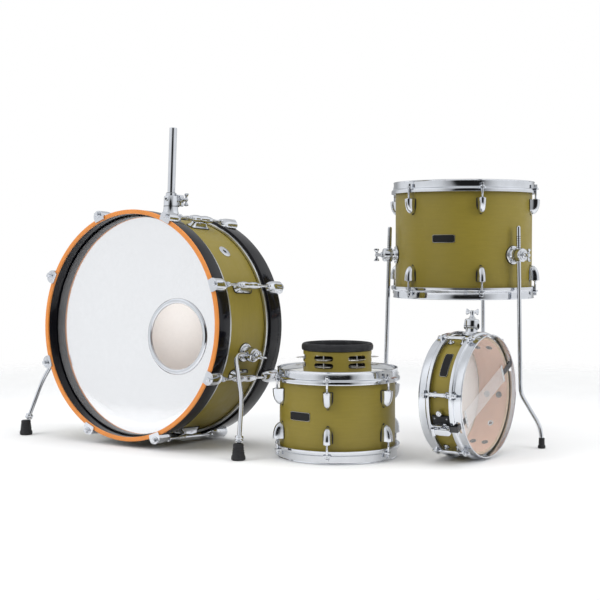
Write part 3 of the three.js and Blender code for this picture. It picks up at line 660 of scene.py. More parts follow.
def eye_bracket(shell, eye, rod):
    """A ringed round base on the shell, and a round barrel with a capped end, bored along +Z for a rod."""
    reach = eye - shell
    cap = reach + max(EYE["outer"], rod + EYE["wall"])
    corners = [(0, -1.5, 0), (21.3, -1.5), (21.3, 3.2), (19.6, 4.6), (17.6, 4.6), (17.0, 3.6), (15.6, 3.6),
               (15.0, 6.2), (13.2, 8.6), (12.6, reach - 6), (13.4, reach - 4), (15.6, reach - 3),
               (15.9, reach - 1), (15.9, cap - 2), (14.6, cap + 0.6), (11.6, cap + 1.4), (9.4, cap + 1.4),
               (8.8, cap + 2.7), (0, cap + 2.7, 0)]
    barrel = solid_of(corners, 0.8, 64).moved(X_OUT)
    split = ring(15.4, 16.4, reach - 0.6, reach + 0.6, 0.2, 64).painted(1).moved(X_OUT)
    # The bore's and the groove's cut faces take the second finish: painted shade inside them.
    bore = cylinder(rod + 0.5, -24, 24, 0.1, 32).shifted(x=reach).painted(1)
    groove = slab((cap + 2.0, cap + 3.2), (-0.7, 0.7), (-12, 12), 0.2).painted(1)
    body = carved(barrel, bore + groove)
    lips = ring(rod + 0.5, rod + 2.4, -15.9, -12.5, 0.5, 32) + ring(rod + 0.5, rod + 2.4, 12.5, 15.9, 0.5, 32)
    gasket = ring(8, 22, -2.0, 0.9, 0.6, 64).painted(1).moved(X_OUT)
    seams = carved(split, bore)
    return (body + seams.painted(1) + gasket + lips.shifted(x=reach)).shifted(x=shell)


def wing_start(eye, rod):
    """Where a wing bolt begins: on the cap of an eye bracket."""
    return eye + max(EYE["outer"], rod + EYE["wall"]) + EYE["cap"]


def hoop_shape(shell, edge, ears):
    """A flanged steel hoop: a rolled top edge, an upright wall, a step with ears at the given places and a
    flared lower flange."""
    wall = shell + RIM["wall_out"]
    flange = shell + RIM["flange_out"]
    step = edge - RIM["wall_depth"]
    foot = edge - RIM["depth"]
    t = RIM["wall"]
    corners = [
        (wall - t, edge - 1.0, 0.6), (wall - t, step - 0.6, 2.2), (flange - t - 1.6, step - 1.9, 2.2),
        (flange - t, foot + 0.6, 0.6), (flange - t + 0.3, foot, 0.3), (flange, foot, 0.6),
        (flange - 0.4, step - 0.8, 2.6), (wall + 0.2, step + 0.9, 1.6), (wall, edge - 2.6, 0.8),
        (wall + 0.9, edge - 1.2, 0.7), (wall + 0.5, edge, 0.6), (wall - t + 0.3, edge, 0.6),
    ]
    return ring_of(corners, 1.0, 144) + together(ear_shape(shell, step).moved(place) for place in ears)


def ear_shape(shell, step):
    """A pressed ear that carries a tension rod, on the hoop's step."""
    low = shell + RIM["wall_out"] - 1.2
    out = shell + RIM["rod_out"] + 5.6
    outline = [(low, -9.6, 0), (low + 5, -9.4, 3), (out, -7.6, 6), (out, 7.6, 6),
               (low + 5, 9.4, 3), (low, 9.6, 0)]
    plate = extruded(softened(outline, 3, 5), step - 1.7, step + 0.9)
    rim = ring(3.2, 6.4, step + 0.3, step + 1.7, 0.5, 28).shifted(x=shell + RIM["rod_out"])
    return plate + rim


def dome(foot, half_width, height, along, power):
    """A section across a lug or claw: half a squarish ellipse that stands on X = foot."""
    section = []
    for j in range(17):
        a = math.pi * j / 16
        y = -half_width * math.copysign(abs(math.cos(a)) ** power, math.cos(a))
        section.append((foot + height * math.sin(a) ** power, y, along))
    return section


def tear_lug(shell, top):
    """A cast lug: a flat end towards the hoop and a round end towards the middle, on a thin gasket."""
    half, length, proud = LUG["half_width"], LUG["length"], LUG["proud"] - 1.5
    loops = []
    for k in range(16):
        t = k / 15
        # The side view is a quarter ellipse that falls from the flat end to the round one.
        drop = math.sqrt(max(0.0, 1 - (1 - t) ** 2.4)) if t < 1 else 1.0
        z = top - length * (1 - t)
        w = half * (0.8 + 0.2 * t) * math.sqrt(max(0.004, 1 - max(0, (0.36 - t) / 0.36) ** 2))
        h = 1.5 + (proud - 1.5) * drop
        loops.append(dome(shell + 0.6, w, h, z, 0.72))
    body = loft(loops)
    outline = [(-half - 1.2, top + 1, 2), (-half - 1.2, top - length * 0.6, 6), (-2, top - length - 1.4, 4),
               (2, top - length - 1.4, 4), (half + 1.2, top - length * 0.6, 6), (half + 1.2, top + 1, 2)]
    flat = extruded(softened(outline, 2, 4), -1.2, 1.1)
    gasket = flat.moved(FACING_OUT).shifted(x=shell).painted(1)
    collar = ring(3.0, 6.0, top - 0.6, top + 1.6, 0.6, 28).shifted(x=shell + RIM["rod_out"])
    return body + gasket + collar


def barrel_lug(shell, top):
    """A turned tube lug on two feet, each with its screw flange and a dark gasket, which also stands for
    painted shade at the lug's base.
    """
    out = RIM["rod_out"]
    profile = [(2.8, -top), (4.6, -top), (5.2, -top + 2), (4.4, -top + 4), (4.9, -top + 6.5), (4.3, -4),
               (4.3, 4), (4.9, top - 6.5), (4.4, top - 4), (5.2, top - 2), (4.6, top), (2.8, top)]
    tube = ring_of(profile, 0.7, 32).shifted(x=shell + out)
    parts = [tube]
    for side in (-1, 1):
        along = side * (top - 5.5) * MM
        stem = [(0, -1, 0), (6.6, -1), (6.6, 1.6), (4.0, 3.4), (3.2, out - 3, 0), (0, out - 3, 0)]
        foot = solid_of(stem, 0.8, 28)
        pad = ring(2, 7.2, -1.2, 0.8, 0.4, 28).painted(1)
        parts.append((foot + pad).moved(Matrix.Translation((shell * MM, 0, along)) @ X_OUT))
    return together(parts)


def film_head(shell, edge, crown=0.25):
    """A drumhead: the flat film, its rounded collar over the shell's edge and a slim flesh hoop."""
    r, t = shell + 0.4, FILM
    return lathe([
        (0, edge + crown), (r * 0.5, edge + crown * 0.9), (r - 12, edge + 0.1), (r - 4, edge + t),
        (r - 1.2, edge + 0.3), (r, edge - 1.4), (r + 0.4, edge - 7), (r + 0.5, edge - 9), (r + 2.8, edge - 9),
        (r + 2.8, edge - 12), (r, edge - 12), (r - 0.1, edge - 7), (r - 0.5, edge - 1.6), (r - 2, edge - 0.3),
        (r - 12, edge - 0.5), (0, edge + crown - t),
    ], 128, closed=False, material=lambda a, b: 1 if max(a[1], b[1]) < edge - 8.5 else 0)


def wood_shell(radius, wall, half, segments=144):
    """A ply shell with 45 degree bearing edges, lacquered outside and bare inside."""
    inner = radius - wall
    corners = [
        (inner, half - 3.2, 0.4), (inner + 1.6, half, 0.5), (radius - 1.4, half - 0.2, 0.5),
        (radius, half - 2.0, 0.8), (radius, -half + 2.0, 0.8), (radius - 1.4, -half + 0.2, 0.5),
        (inner + 1.6, -half, 0.5), (inner, -half + 3.2, 0.4),
    ]

    def side(a, b):
        if min(a[0], b[0]) > radius - 0.9:
            return 0
        return 1 if max(a[0], b[0]) < inner + 0.6 else 2

    return ring_of(corners, 0.5, segments, 2, material=side)


def badge_plate(shell, across, along):
    """A plain curved plate with a raised border, on the outside of a shell."""
    half_y, half_z = across / 2, along / 2
    corner, columns = 2.2, 12

    def wrapped(y, z, out):
        return (shell + out) * math.cos(y / shell), (shell + out) * math.sin(y / shell), z

    shape = Shape()
    for inset, low, high, material in ((0, 0.1, 1.3, 1), (0.4, 0.9, 1.6, 0)):
        limit_y, limit_z = half_y - inset, half_z - inset
        loop = softened(rectangle((-limit_y, limit_y), (-limit_z, limit_z)), corner, 4)
        count = len(loop)
        rim = [[i, (i + 1) % count, count + (i + 1) % count, count + i] for i in range(count)]
        shape.add([wrapped(p.x, p.y, out) for out in (high, low) for p in loop], rim, material)
        # Strips across the plate keep its face curved with the shell.
        for out in (high, low):
            strip = []
            for c in range(columns + 1):
                y = -half_y + inset + (across - 2 * inset) * c / columns
                edge_in = max(0.0, corner - min(y + half_y - inset, half_y - inset - y))
                z = half_z - inset - (corner - math.sqrt(max(0, corner ** 2 - edge_in ** 2)))
                strip += [wrapped(y, -z, out), wrapped(y, z, out)]
            shape.add(strip, [[2 * c, 2 * c + 2, 2 * c + 3, 2 * c + 1] for c in range(columns)], material)
    return shape


def vent(shell, radius, bore):
    """A metal grommet round an air hole; the hole is a disc in the second finish, painted shade."""
    corners = [(bore, -1), (radius, -1), (radius, 0.9), (bore + 1.2, 1.9), (bore, 0.9)]
    flat = ring_of(corners, 0.5, 48)
    hole = cylinder(bore + 0.3, -1.2, 0.35, 0.1, 24).painted(1)
    return (flat + hole).moved(X_OUT).shifted(x=shell)


# ---- Bass drum ----------------------------------------------------------------------------------

CLAW = dict(half_width=15.2, proud=16, length=45.5, lip=4, reach=8)


def claw_shape():
    """A claw over the hoop's face on the +Z side: a bullet-shaped body, a square lip and a raised rim."""
    face = BASS["half_depth"] + GAP
    inner = BASS["hoop"] + GAP
    loops = []
    for k in range(19):
        t = k / 18
        z = face + CLAW["lip"] - 0.3 - (CLAW["length"] + CLAW["lip"] - 0.3) * t
        # Full along the hoop, then it closes in to a round tip towards the shell.
        close = max(0.0, (t - 0.42) / 0.58)
        width = CLAW["half_width"] * math.sqrt(max(0.02, 1 - close ** 2.4 * 0.86))
        height = (CLAW["proud"] - 1.2) * (1 - 0.62 * close ** 2.2)
        loops.append(dome(inner + 0.1, width, height, z, 0.8))
    body = loft(loops)
    low = BASS["hoop"] - CLAW["reach"]
    high = BASS["hoop"] + CLAW["proud"] - 0.9
    half = CLAW["half_width"]
    outline = [(low, -half + 1, 2.5), (high - 11, -half, 6), (high - 2.6, -half * 0.66, 5),
               (high, -half * 0.2, 4), (high, half * 0.2, 4), (high - 2.6, half * 0.66, 5),
               (high - 11, half, 6), (low, half - 1, 2.5)]
    lip = extruded(softened(outline, 2, 5), face, face + CLAW["lip"] - 0.6)
    boss = ring(4.6, 8.6, face + 2.4, face + CLAW["lip"] + 1.0, 0.8, 32).shifted(x=BASS["rod_circle"])
    return body + lip + boss


def claw_key():
    """The key bolt's flange and square head on the claw's face."""
    face = BASS["half_depth"] + GAP + CLAW["lip"]
    flange = cylinder(6.2, face - 1, face + 1.6, 0.6, 28)
    key = slab((-4.2, 4.2), (-4.2, 4.2), (face + 1.2, face + 7.4), 0.8)
    return (flange + key).shifted(x=BASS["rod_circle"])


def bass_rods():
    """Both tension rods of a station, from the claws' tips to the lug, with their swivel nuts."""
    stem = cylinder(2.9, 44, 78, 0.2, 16) + threads(2.9, 38, 46)
    nut = ring_of([(2, 37.2), (5.2, 37.2), (5.2, 40.5), (4.2, 42.2), (2, 42.2)], 0.6, 24)
    cap = ring_of([(2, 71), (5.4, 71), (6.2, 74), (6.2, 78), (2, 78)], 0.8, 24)
    rod = stem + nut + cap
    return (rod + rod.moved(FLIP)).shifted(x=BASS["rod_circle"])


def bass_lug_shape():
    """A slender double-ended lug: two tapered barrels, a waist, a raised spine and a base on its gasket."""
    profile = [(3, -37.3), (5.6, -37.3), (6.6, -35.6), (7.0, -31), (8.3, -24), (8.5, -12), (7.4, -4),
               (7.4, 4), (8.5, 12), (8.3, 24), (7.0, 31), (6.6, 35.6), (5.6, 37.3), (3, 37.3)]
    barrel = ring_of(profile, 1.2, 36).shifted(x=BASS["rod_circle"])
    loops = []
    for k in range(9):
        t = k / 8
        x = 255.2 + (272 - 255.2) * t
        half_y = 11 - 5.2 * math.sin(math.pi / 2 * min(1, t * 1.25))
        half_z = 32 - 10 * math.sin(math.pi / 2 * min(1, t * 1.4))
        corners = rectangle((-half_y, half_y), (-half_z, half_z))
        loops.append([(x, p.x, p.y) for p in softened(corners, half_y * 0.9, 5)])
    body = loft(loops)
    pad = rectangle((-12.4, 12.4), (-33.6, 33.6))
    gasket = extruded(softened(pad, 11, 6), -1.6, 1.6).moved(FACING_OUT).shifted(x=BASS["shell"]).painted(1)
    return barrel + body + gasket


def ported_head():
    """The front head: a film with an offset port, its collar, and an aluminium flesh hoop."""
    steps, bands = 128, 7
    z = BASS["half_shell"] + GAP
    outer = BASS["shell"] - 3
    collar = [(outer + 1.6, z - 0.2), (outer + 3.0, z - 1.4), (outer + 3.5, z - 3.6), (outer + 3.6, z - 14)]

    def circle(radius, height):
        return [Vector((radius * math.cos(a), radius * math.sin(a), height)) for a in angles(steps)]

    def face(height):
        """Circles that open out from the port's edge to the head's edge."""
        hole = Vector((PORT["across"], PORT["up"], 0))
        pairs = list(zip(circle(PORT["radius"] - 0.5, height), circle(outer, height)))
        return [[(hole + near).lerp(far, (band / bands) ** 1.4) for near, far in pairs]
                for band in range(bands + 1)]

    top = face(z + FILM) + [circle(r, height + FILM) for r, height in collar]
    under = face(z) + [circle(r - FILM, height) for r, height in collar]
    loops = top + under[::-1]
    count = len(loops)
    faces = []
    for i in range(count):
        here, there = i * steps, (i + 1) % count * steps
        faces += [[here + k, here + (k + 1) % steps, there + (k + 1) % steps, there + k]
                  for k in range(steps)]
    return Shape().add([p for loop in loops for p in loop], faces) + flesh_hoop()


def flesh_hoop():
    top = BASS["half_depth"] - BASS["hoop_width"] - GAP
    low = top - BASS["flesh_height"]
    r, out = BASS["shell"] + 0.5, BASS["flesh_out"]
    corners = [(r + 0.4, low), (out, low), (out, top), (out - 1.2, top), (out - 1.2, low + 1.4),
               (r + 1.6, low + 1.4), (r + 1.6, top), (r + 0.4, top)]
    channel = ring_of(corners, 0.5, 128, 2).painted(1)
    core = ring(r + 1.4, out - 1.0, low + 1.2, top - 1.4, 0.8, 128).painted(2)
    return channel + core


def whole_head():
    """The batter head with its flesh hoop, facing +Z."""
    z = BASS["half_shell"] + GAP
    outer = BASS["shell"] - 3
    profile = [(0, z), (outer * 0.5, z), (outer - 12, z), (outer - 2, z + 0.1), (outer + 1.6, z - 0.2),
               (outer + 3.0, z - 1.4), (outer + 3.5, z - 3.6), (outer + 3.6, z - 14), (outer + 4.2, z - 14),
               (outer + 4.2, z - 3.2), (outer + 3.5, z - 0.8), (outer + 1.8, z + 0.5), (outer - 2, z + 0.7),
               (outer - 12, z + FILM), (outer * 0.5, z + FILM), (0, z + FILM)]
    return lathe(profile, 128, closed=False) + flesh_hoop()


def wood_hoop(outer_face, width, edge=1.6):
    inner = BASS["hoop"] - BASS["hoop_wall"]
    return ring(inner, BASS["hoop"], outer_face - width, outer_face, edge, 160)


def tom_holder_shape():
    """The post's clamp, drawn with +X across, +Y along the post and +Z to the front."""
    base_y, top = BASS["shell"] - 1.0, POST["holder_top"]
    loops = []
    # The plate flares into the sleeve.
    stages = [(base_y, 28, 26, 7), (base_y + 6.4, 28, 26, 7), (base_y + 8.2, 26.6, 24.6, 8),
              (base_y + 10, 22.5, 21, 12), (base_y + 14, 19.6, 19.4, 18), (base_y + 22, 17.6, 17.6, 17.5),
              (base_y + 32, 17, 17, 17), (306.6, 17, 17, 17), (308, 16.4, 16.4, 16.4),
              (308.6, 15.4, 15.4, 15.4), (308.8, 12.6, 12.6, 12.6), (309.6, 12, 12, 12),
              (top - 0.8, 12, 12, 12), (top, 11.2, 11.2, 11.2)]
    for y, half_x, half_z, corner in stages:
        corners = rectangle((-half_x, half_x), (-half_z, half_z))
        outline = softened(corners, min(corner, half_x, half_z) * 1.02, 8)
        # The sleeve's sections are true circles with as many points as the plate's outline.
        if corner >= 15:
            turns = [math.atan2(p.y, p.x) for p in outline]
            loops.append([(half_x * math.cos(a), y, half_z * math.sin(a)) for a in turns])
        else:
            loops.append([(p.x, y, p.y) for p in outline])
    body = loft(loops)
    ears = together(slab(x, (286.5, 313.5), (-36, -12), 2.6) for x in ((-11, -1.6), (1.6, 11)))
    # A slab in the second finish fills the clamp's split: painted shade.
    groove = slab((-1.4, 1.4), (285, 308.3), (-30, -15.5), 0.2).painted(1)
    seam = ring(16.2, 17.35, 283.5, 284.9, 0.3, 48).painted(1).moved(Y_OUT)
    liner = ring(9.3, 11.6, top - 3, top + 0.7, 0.4, 40).painted(1).moved(Y_OUT)
    # The stud's hex socket is a hexagon in the second finish: painted shade.
    stud = (cylinder(5.4, 15.4, 18.6, 0.7, 28) + cylinder(3.1, 17, 18.8, 0.2, 6).painted(1)).shifted(y=301)
    plate_screws = together(screw(4.2, 1.8).moved(Y_OUT).shifted(x, base_y + 7.0, z)
                            for x in (-21.5, 21.5) for z in (-19.5, 19.5))
    pad = extruded(softened(rectangle((-29.5, 29.5), (-27.5, 27.5)), 7, 4), -2.4, 1.2)
    gasket = pad.moved(Y_OUT).shifted(y=base_y).painted(1)
    nut = cylinder(6.4, -15.6, -10.6, 0.8, 6).moved(X_OUT)
    nut = nut.shifted(y=HOLDER_WING["height"], z=-HOLDER_WING["behind"])
    return body + ears + groove + seam + liner + stud + plate_screws + gasket + nut


def post_shape():
    """The chromed post: an open tube with a rolled lip."""
    r, bore, low, high = POST["radius"], POST["bore"], POST["low"], POST["high"]
    profile = [(bore, low + 0.6, 0.4), (bore, high - 1, 0.4), (bore + 0.8, high, 0.6), (r - 0.4, high, 0.6),
               (r, high - 1.2, 0.4), (r, low + 1, 0.4), (r - 0.6, low, 0.4)]
    # The bore's wall and a plug down inside it take the second finish: painted shade inside the tube.
    tube_shape = ring_of(profile, 0.5, 40, 2, material=lambda a, b: 1 if max(a[0], b[0]) < bore + 0.3 else 0)
    plug = cylinder(bore, high - 34, high - 31, 0.2, 32).painted(1)
    return (tube_shape + plug).moved(Y_OUT)


def make_bass_drum():
    body = "bass_drum"
    station = BASS_FRAME
    shell = wood_shell(BASS["shell"], SHELL_WALL, BASS["half_shell"], segments=192)
    piece("bass_shell", shell, [OLIVE, LIT_INNER_WOOD, PLY], body, station, ["bass_drum_shell"])
    piece("bass_vent", vent(BASS["shell"], 15.5, 5), [CHROME, DARK_PARTS_AND_SHADE], body,
          station @ turned(lying(46.3)))
    piece("bass_front_head", ported_head(), [MIRROR, STEEL, RUBBER_AND_SHADE], body, station,
          ["bass_drum_front_head"])
    piece("bass_batter_head", whole_head(), [COATED, STEEL, RUBBER_AND_SHADE], body, station @ FLIP,
          ["bass_drum_batter_head"])
    ring_back = BASS["half_shell"] + GAP + FILM
    profile = [(PORT["radius"], ring_back), (PORT["ring"], ring_back), (PORT["ring"], ring_back + 1.6),
               (PORT["ring"] - 3.4, ring_back + 3.9), (PORT["radius"] + 3, ring_back + 3.9),
               (PORT["radius"], ring_back + 2.4)]
    port_ring = ring_of(profile, 1.6, 96, 4).shifted(PORT["across"], PORT["up"])
    piece("bass_port_ring", port_ring, [CHROME], body, station, ["bass_drum_port_ring"])

    black_face = BASS["half_depth"] - BASS["inlay"] - 0.05
    front_hoop = wood_hoop(black_face, BASS["hoop_width"] - BASS["inlay"], 1.2)
    piece("bass_front_hoop", front_hoop, [BLACK], body, station, ["bass_drum_front_hoop"])
    inlay = wood_hoop(BASS["half_depth"], BASS["inlay"], 1.4)
    piece("bass_front_hoop_inlay", inlay, [ORANGE], body, station, ["bass_drum_front_hoop_inlay"])
    rear_hoop = wood_hoop(BASS["half_depth"], BASS["hoop_width"], 1.6)
    piece("bass_rear_hoop", rear_hoop, [BLACK], body, station @ FLIP, ["bass_drum_rear_hoop"])

    claw_mesh = mesh_of("bass_claw", claw_shape(), [CHROME], 40)
    key_mesh = mesh_of("bass_claw_key", claw_key(), [CHROME])
    rod_mesh = mesh_of("bass_rods", bass_rods(), [CHROME])
    lug_mesh = mesh_of("bass_lug", bass_lug_shape(), [CHROME, RUBBER_AND_SHADE])
    for i, bearing in enumerate(stations(BASS["stations"], BASS["first_station"])):
        place = station @ turned(lying(bearing))
        node = f"bass_drum_tension_set_{i + 1}"
        piece(f"bass_lug_{i + 1}", lug_mesh, None, body, place, [node])
        piece(f"bass_rods_{i + 1}", rod_mesh, None, body, place, [node])
        for side, turn in (("front", SAME), ("rear", FLIP)):
            piece(f"bass_claw_{side}_{i + 1}", claw_mesh, None, body, place @ turn, [node])
            piece(f"bass_claw_key_{side}_{i + 1}", key_mesh, None, body, place @ turn, [node])

    behind = Matrix.Translation((0, 0, -POST["behind"] * MM))
    piece("tom_post_holder", tom_holder_shape(), [CHROME, DARK_PARTS_AND_SHADE], body, station @ behind,
          ["tom_holder"])
    piece("tom_post_tube", post_shape(), [CHROME, DARK_PARTS_AND_SHADE], "tom_post", station @ behind, ["tom_post"])
    wing_place = (0, HOLDER_WING["height"] * MM, (-POST["behind"] - HOLDER_WING["behind"]) * MM)
    piece("tom_holder_wing", wing_bolt(HOLDER_WING["start"]), [CHROME], "tom_holder_wing",
          station @ Matrix.Translation(wing_place) @ Y_IN, ["tom_holder_wing_bolt"])
    for label, side in (("left", -1), ("right", 1)):
        make_spur(label, side)


def grounded(point):
    return Vector((point.x, point.y, 0))


def spur_points(label, side):
    """The spur rod's route in metres, from inside its eye to the top of its foot, and the foot's place."""
    foot = grounded(centre_of(f"spur_foot_{label}"))
    angle = lying(side * SPUR["angle"])
    eye = Vector((SPUR["eye"] * math.cos(angle), SPUR["eye"] * math.sin(angle), 0)) * MM
    points = [BASS_FRAME @ (eye + Vector((0, 0, along * MM))) for along in SPUR["straight"]]
    front = grounded(bass_front).normalized()
    across = grounded(bass_up.cross(bass_front)).normalized()
    centre = grounded(BASS_FRAME.translation)
    for out, ahead, height in (SPUR["knee"], SPUR["end"]):
        points.append(centre + (across * side * out + front * ahead) * MM + Vector((0, 0, height * MM)))
    return points, foot


def make_spur(label, side):
    angle = lying(side * SPUR["angle"])
    place = BASS_FRAME @ turned(angle)
    bracket = eye_bracket(BASS["shell"], SPUR["eye"], SPUR["rod"])
    piece(f"spur_eye_{label}", bracket, [CHROME, RUBBER_AND_SHADE], "bass_drum", place,
          [f"spur_bracket_{label}"])
    wing = wing_bolt(wing_start(SPUR["eye"], SPUR["rod"]))
    piece(f"spur_wing_{label}_bolt", wing, [CHROME], f"spur_wing_{label}", place,
          [f"spur_wing_bolt_{label}"])
    points, foot = spur_points(label, side)
    path = bent_path([p / MM for p in points], 22, 8)
    rod = tube(path, SPUR["rod"], 18, rounded_start=True)
    direction = (points[3] - points[2]).normalized()
    turn = direction.rotation_difference(Vector((0, 0, 1))).to_matrix().inverted().to_4x4()
    nut_place = Matrix.Translation(points[3] - direction * 0.0145) @ turn
    nut_profile = [(5.2, 0), (8.8, 0), (9.5, 3), (9.5, 6), (8.6, 7), (8.6, 8.4), (9.4, 9.2), (9.4, 11.4),
                   (8, 12.8), (5.2, 12.8)]
    nut = ring_of(nut_profile, 0.6, 32).moved(nut_place)
    collar = ring(5, 7.6, -9, -3, 0.9, 28).moved(Matrix.Translation(points[0]) @ rotation_to(bass_front))
    piece(f"spur_rod_{label}", rod + nut, [CHROME], f"spur_{label}", SAME, [f"spur_leg_{label}"])
    piece(f"spur_stop_{label}", collar, [CHROME], f"spur_{label}", SAME, [])
    tip = foot_shape(SPUR["foot_top"], SPUR["foot_radius"], SPUR["foot_height"], 8)
    piece(f"spur_tip_{label}", tip, [RUBBER_AND_SHADE], f"spur_{label}", Matrix.Translation(foot),
          [f"spur_foot_{label}"])


def rotation_to(axis):
    return Vector((0, 0, 1)).rotation_difference(axis).to_matrix().to_4x4()


def foot_shape(top, radius, height, flats):
    """A moulded rubber foot with soft flats at its flared base and ribs above."""
    corners = [(0, 0, 0), (radius - 1.4, 0, 1), (radius, 1.6, 1), (radius, height * 0.2, 2),
               (radius - 1.6, height * 0.3, 1)]
    taper = radius - 1.6
    for i in range(4):
        t = 0.32 + 0.14 * i
        r = taper + (top - taper) * (t - 0.3) / 0.7
        corners += [(r, height * t, 0.5), (r - 0.8, height * (t + 0.04), 0.5),
                    (r - 0.8, height * (t + 0.09), 0.5), (r - 0.1, height * (t + 0.12), 0.5)]
    corners += [(top, height - 1.2, 0.8), (top - 1.2, height, 0.8), (0, height, 0)]
    profile = softened(corners, 0.8, 2, closed=False)

    def octagonal(i, r, angle):
        low = max(0.0, 1 - profile[i][1] / (height * 0.45))
        wave = math.cos(flats * angle) * 0.5 + 0.5
        return r * (1 - 0.045 * low * (1 - wave))

    return lathe(profile, 64, closed=False, radius=octagonal)


# ---- Toms ---------------------------------------------------------------------------------------


def rim_group(shell, half, bearings, rod_low, turn):
    """The hoop and its rods, drawn on the +Z side and then turned, and the places of its lugs."""
    places = [turned(-b if turn == FLIP else b) for b in bearings]
    step = half - RIM["wall_depth"]
    hoop = hoop_shape(shell, half, places)
    rod = tension_rod(rod_low, rod_low + 12, step + 1.6).shifted(x=shell + RIM["rod_out"])
    return hoop.moved(turn), together(rod.moved(place) for place in places).moved(turn), places


def tom_insides(shell, bearings, along):
    """Screw heads with washers inside the shell, two for each lug."""
    head = (screw(5.0, 2.0) + ring(2, 7.2, -0.6, 0.9, 0.4, 28)).moved(X_IN).shifted(x=shell - SHELL_WALL)
    return together(head.moved(turned(angle, 0, z)) for angle in bearings for z in along)


def make_tom(body, tom, station):
    shell, half = tom["shell"], tom["height"] / 2
    edge = half - RIM["head_depth"] - 1
    bearings = [standing(b) for b in stations(6, tom["first_lug"])]
    piece(f"{body}_wood_shell", wood_shell(shell, SHELL_WALL, edge - 0.3), [OLIVE, INNER, PLY], body, station,
          [f"{body}_shell"])
    piece(f"{body}_top_film", film_head(shell, edge), [COATED, STEEL], body, station,
          [f"{body}_batter_head"])
    piece(f"{body}_bottom_film", film_head(shell, edge), [CLEAR, STEEL], body, station @ FLIP,
          [f"{body}_resonant_head"])
    lug_top = half - LUG["from_edge"]
    for label, turn in (("top", SAME), ("bottom", FLIP)):
        hoop, rods, places = rim_group(shell, half, bearings, lug_top - 2, turn)
        lugs = together(tear_lug(shell, lug_top).moved(place) for place in places).moved(turn)
        node = [f"{body}_{label}_rim"]
        piece(f"{body}_{label}_hoop", hoop, [CHROME], body, station, node, 40)
        piece(f"{body}_{label}_rods", rods, [CHROME], body, station, node)
        piece(f"{body}_{label}_lugs", lugs, [CHROME, RUBBER_AND_SHADE], body, station, node, 50)
    inner_along = (-(lug_top - 20), lug_top - 20)
    piece(f"{body}_inner_screws", tom_insides(shell, bearings, inner_along), [SCREW_METAL_AND_SHADE, DARK_PARTS_AND_SHADE], body, station)
    bearing, along = tom["badge"]
    plate = badge_plate(shell, 54, 18)
    piece(f"{body}_badge", plate, [PLATE, STEEL], body, station @ turned(standing(bearing), 0, along))
    behind = station @ turned(standing(bearing + 180))
    piece(f"{body}_vent", vent(shell, 6.5, 3.6), [CHROME, DARK_PARTS_AND_SHADE], body, behind)


def leg_shape():
    """A leg down from its top end, with dark rings of painted shade for a light knurl where the bracket holds
    it, then bent out to its foot.
    """
    corners = [(LEG["top_radius"], 0, LEG["top"]), (LEG["bend_radius"], 0, LEG["bend"]),
               (LEG["foot_radius"] - 4, 0, 48), (LEG["foot_radius"], 0, 14)]
    rod = tube(bent_path(corners, 18, 8), LEG["rod"], 18, rounded_start=True)
    groove = ring(4, 5.16, -0.5, 0.5, 0.2,
                  24).moved(Matrix.Rotation(-math.atan(LEG_SLOPE), 4, "Y")).painted(1)
    heights = [LEG["top"] - 22 - 5 * k for k in range(6)]
    grooves = together(groove.shifted(LEG["top_radius"] + LEG_SLOPE * (LEG["top"] - z), 0, z)
                       for z in heights)
    foot = foot_shape(6.8, 9, 24, 6).shifted(x=LEG["foot_radius"]).painted(2)
    return rod + grooves + foot


def make_floor_tom():
    make_tom("floor_tom", FLOOR_TOM, FLOOR_FRAME)
    ground = FLOOR_FRAME.copy()
    ground.translation.z = 0
    eye = LEG["top_radius"] + LEG_SLOPE * (LEG["top"] - LEG["bracket"])
    leg_mesh = mesh_of("floor_tom_leg_rod", leg_shape(), [CHROME, SCREW_METAL_AND_SHADE, RUBBER_AND_SHADE])
    bracket_mesh = mesh_of("floor_tom_eye", eye_bracket(FLOOR_TOM["shell"], eye, LEG["rod"] + 0.4),
                           [CHROME, RUBBER_AND_SHADE])
    wing_mesh = mesh_of("floor_tom_wing", wing_bolt(wing_start(eye, LEG["rod"])), [CHROME])
    for i, bearing in enumerate(LEG["bearings"]):
        turn = turned(standing(bearing))
        high = ground @ Matrix.Translation((0, 0, LEG["bracket"] * MM)) @ turn
        n = i + 1
        piece(f"floor_tom_leg_{n}_rod", leg_mesh, None, f"floor_tom_leg_{n}", ground @ turn,
              [f"floor_tom_leg_{n}"])
        piece(f"floor_tom_eye_{n}", bracket_mesh, None, "floor_tom", high,
              [f"floor_tom_leg_bracket_{n}"])
        piece(f"floor_tom_wing_{n}_bolt", wing_mesh, None, f"floor_tom_wing_{n}", high,
              [f"floor_tom_wing_bolt_{n}"])


def make_rack_tom():
    make_tom("rack_tom", RACK_TOM, RACK_FRAME)
    place = RACK_FRAME @ turned(standing(RACK_BRACKET["bearing"]))
    bore = POST["radius"] + 0.5
    eye = RACK_BRACKET["eye"]
    piece("rack_tom_eye", eye_bracket(RACK_TOM["shell"], eye, bore), [CHROME, RUBBER_AND_SHADE], "rack_tom", place,
          ["rack_tom_bracket"])
    piece("rack_tom_wing_bolt_piece", wing_bolt(wing_start(eye, bore)), [CHROME], "rack_tom_wing", place,
          ["rack_tom_wing_bolt"])


def stadium(width, height, low, high):
    """A slot cutter along +X with round ends, its width along Y and its height along Z."""
    r = height / 2
    outline = []
    for side in (1, -1):
        for k in range(9):
            a = math.pi * (k / 8 - 0.5) + (0 if side > 0 else math.pi)
            outline.append((side * (width / 2 - r) + r * math.cos(a), r * math.sin(a)))
    return extruded(outline, low, high).moved(FACING_OUT)


# ---- Snare drum ---------------------------------------------------------------------------------


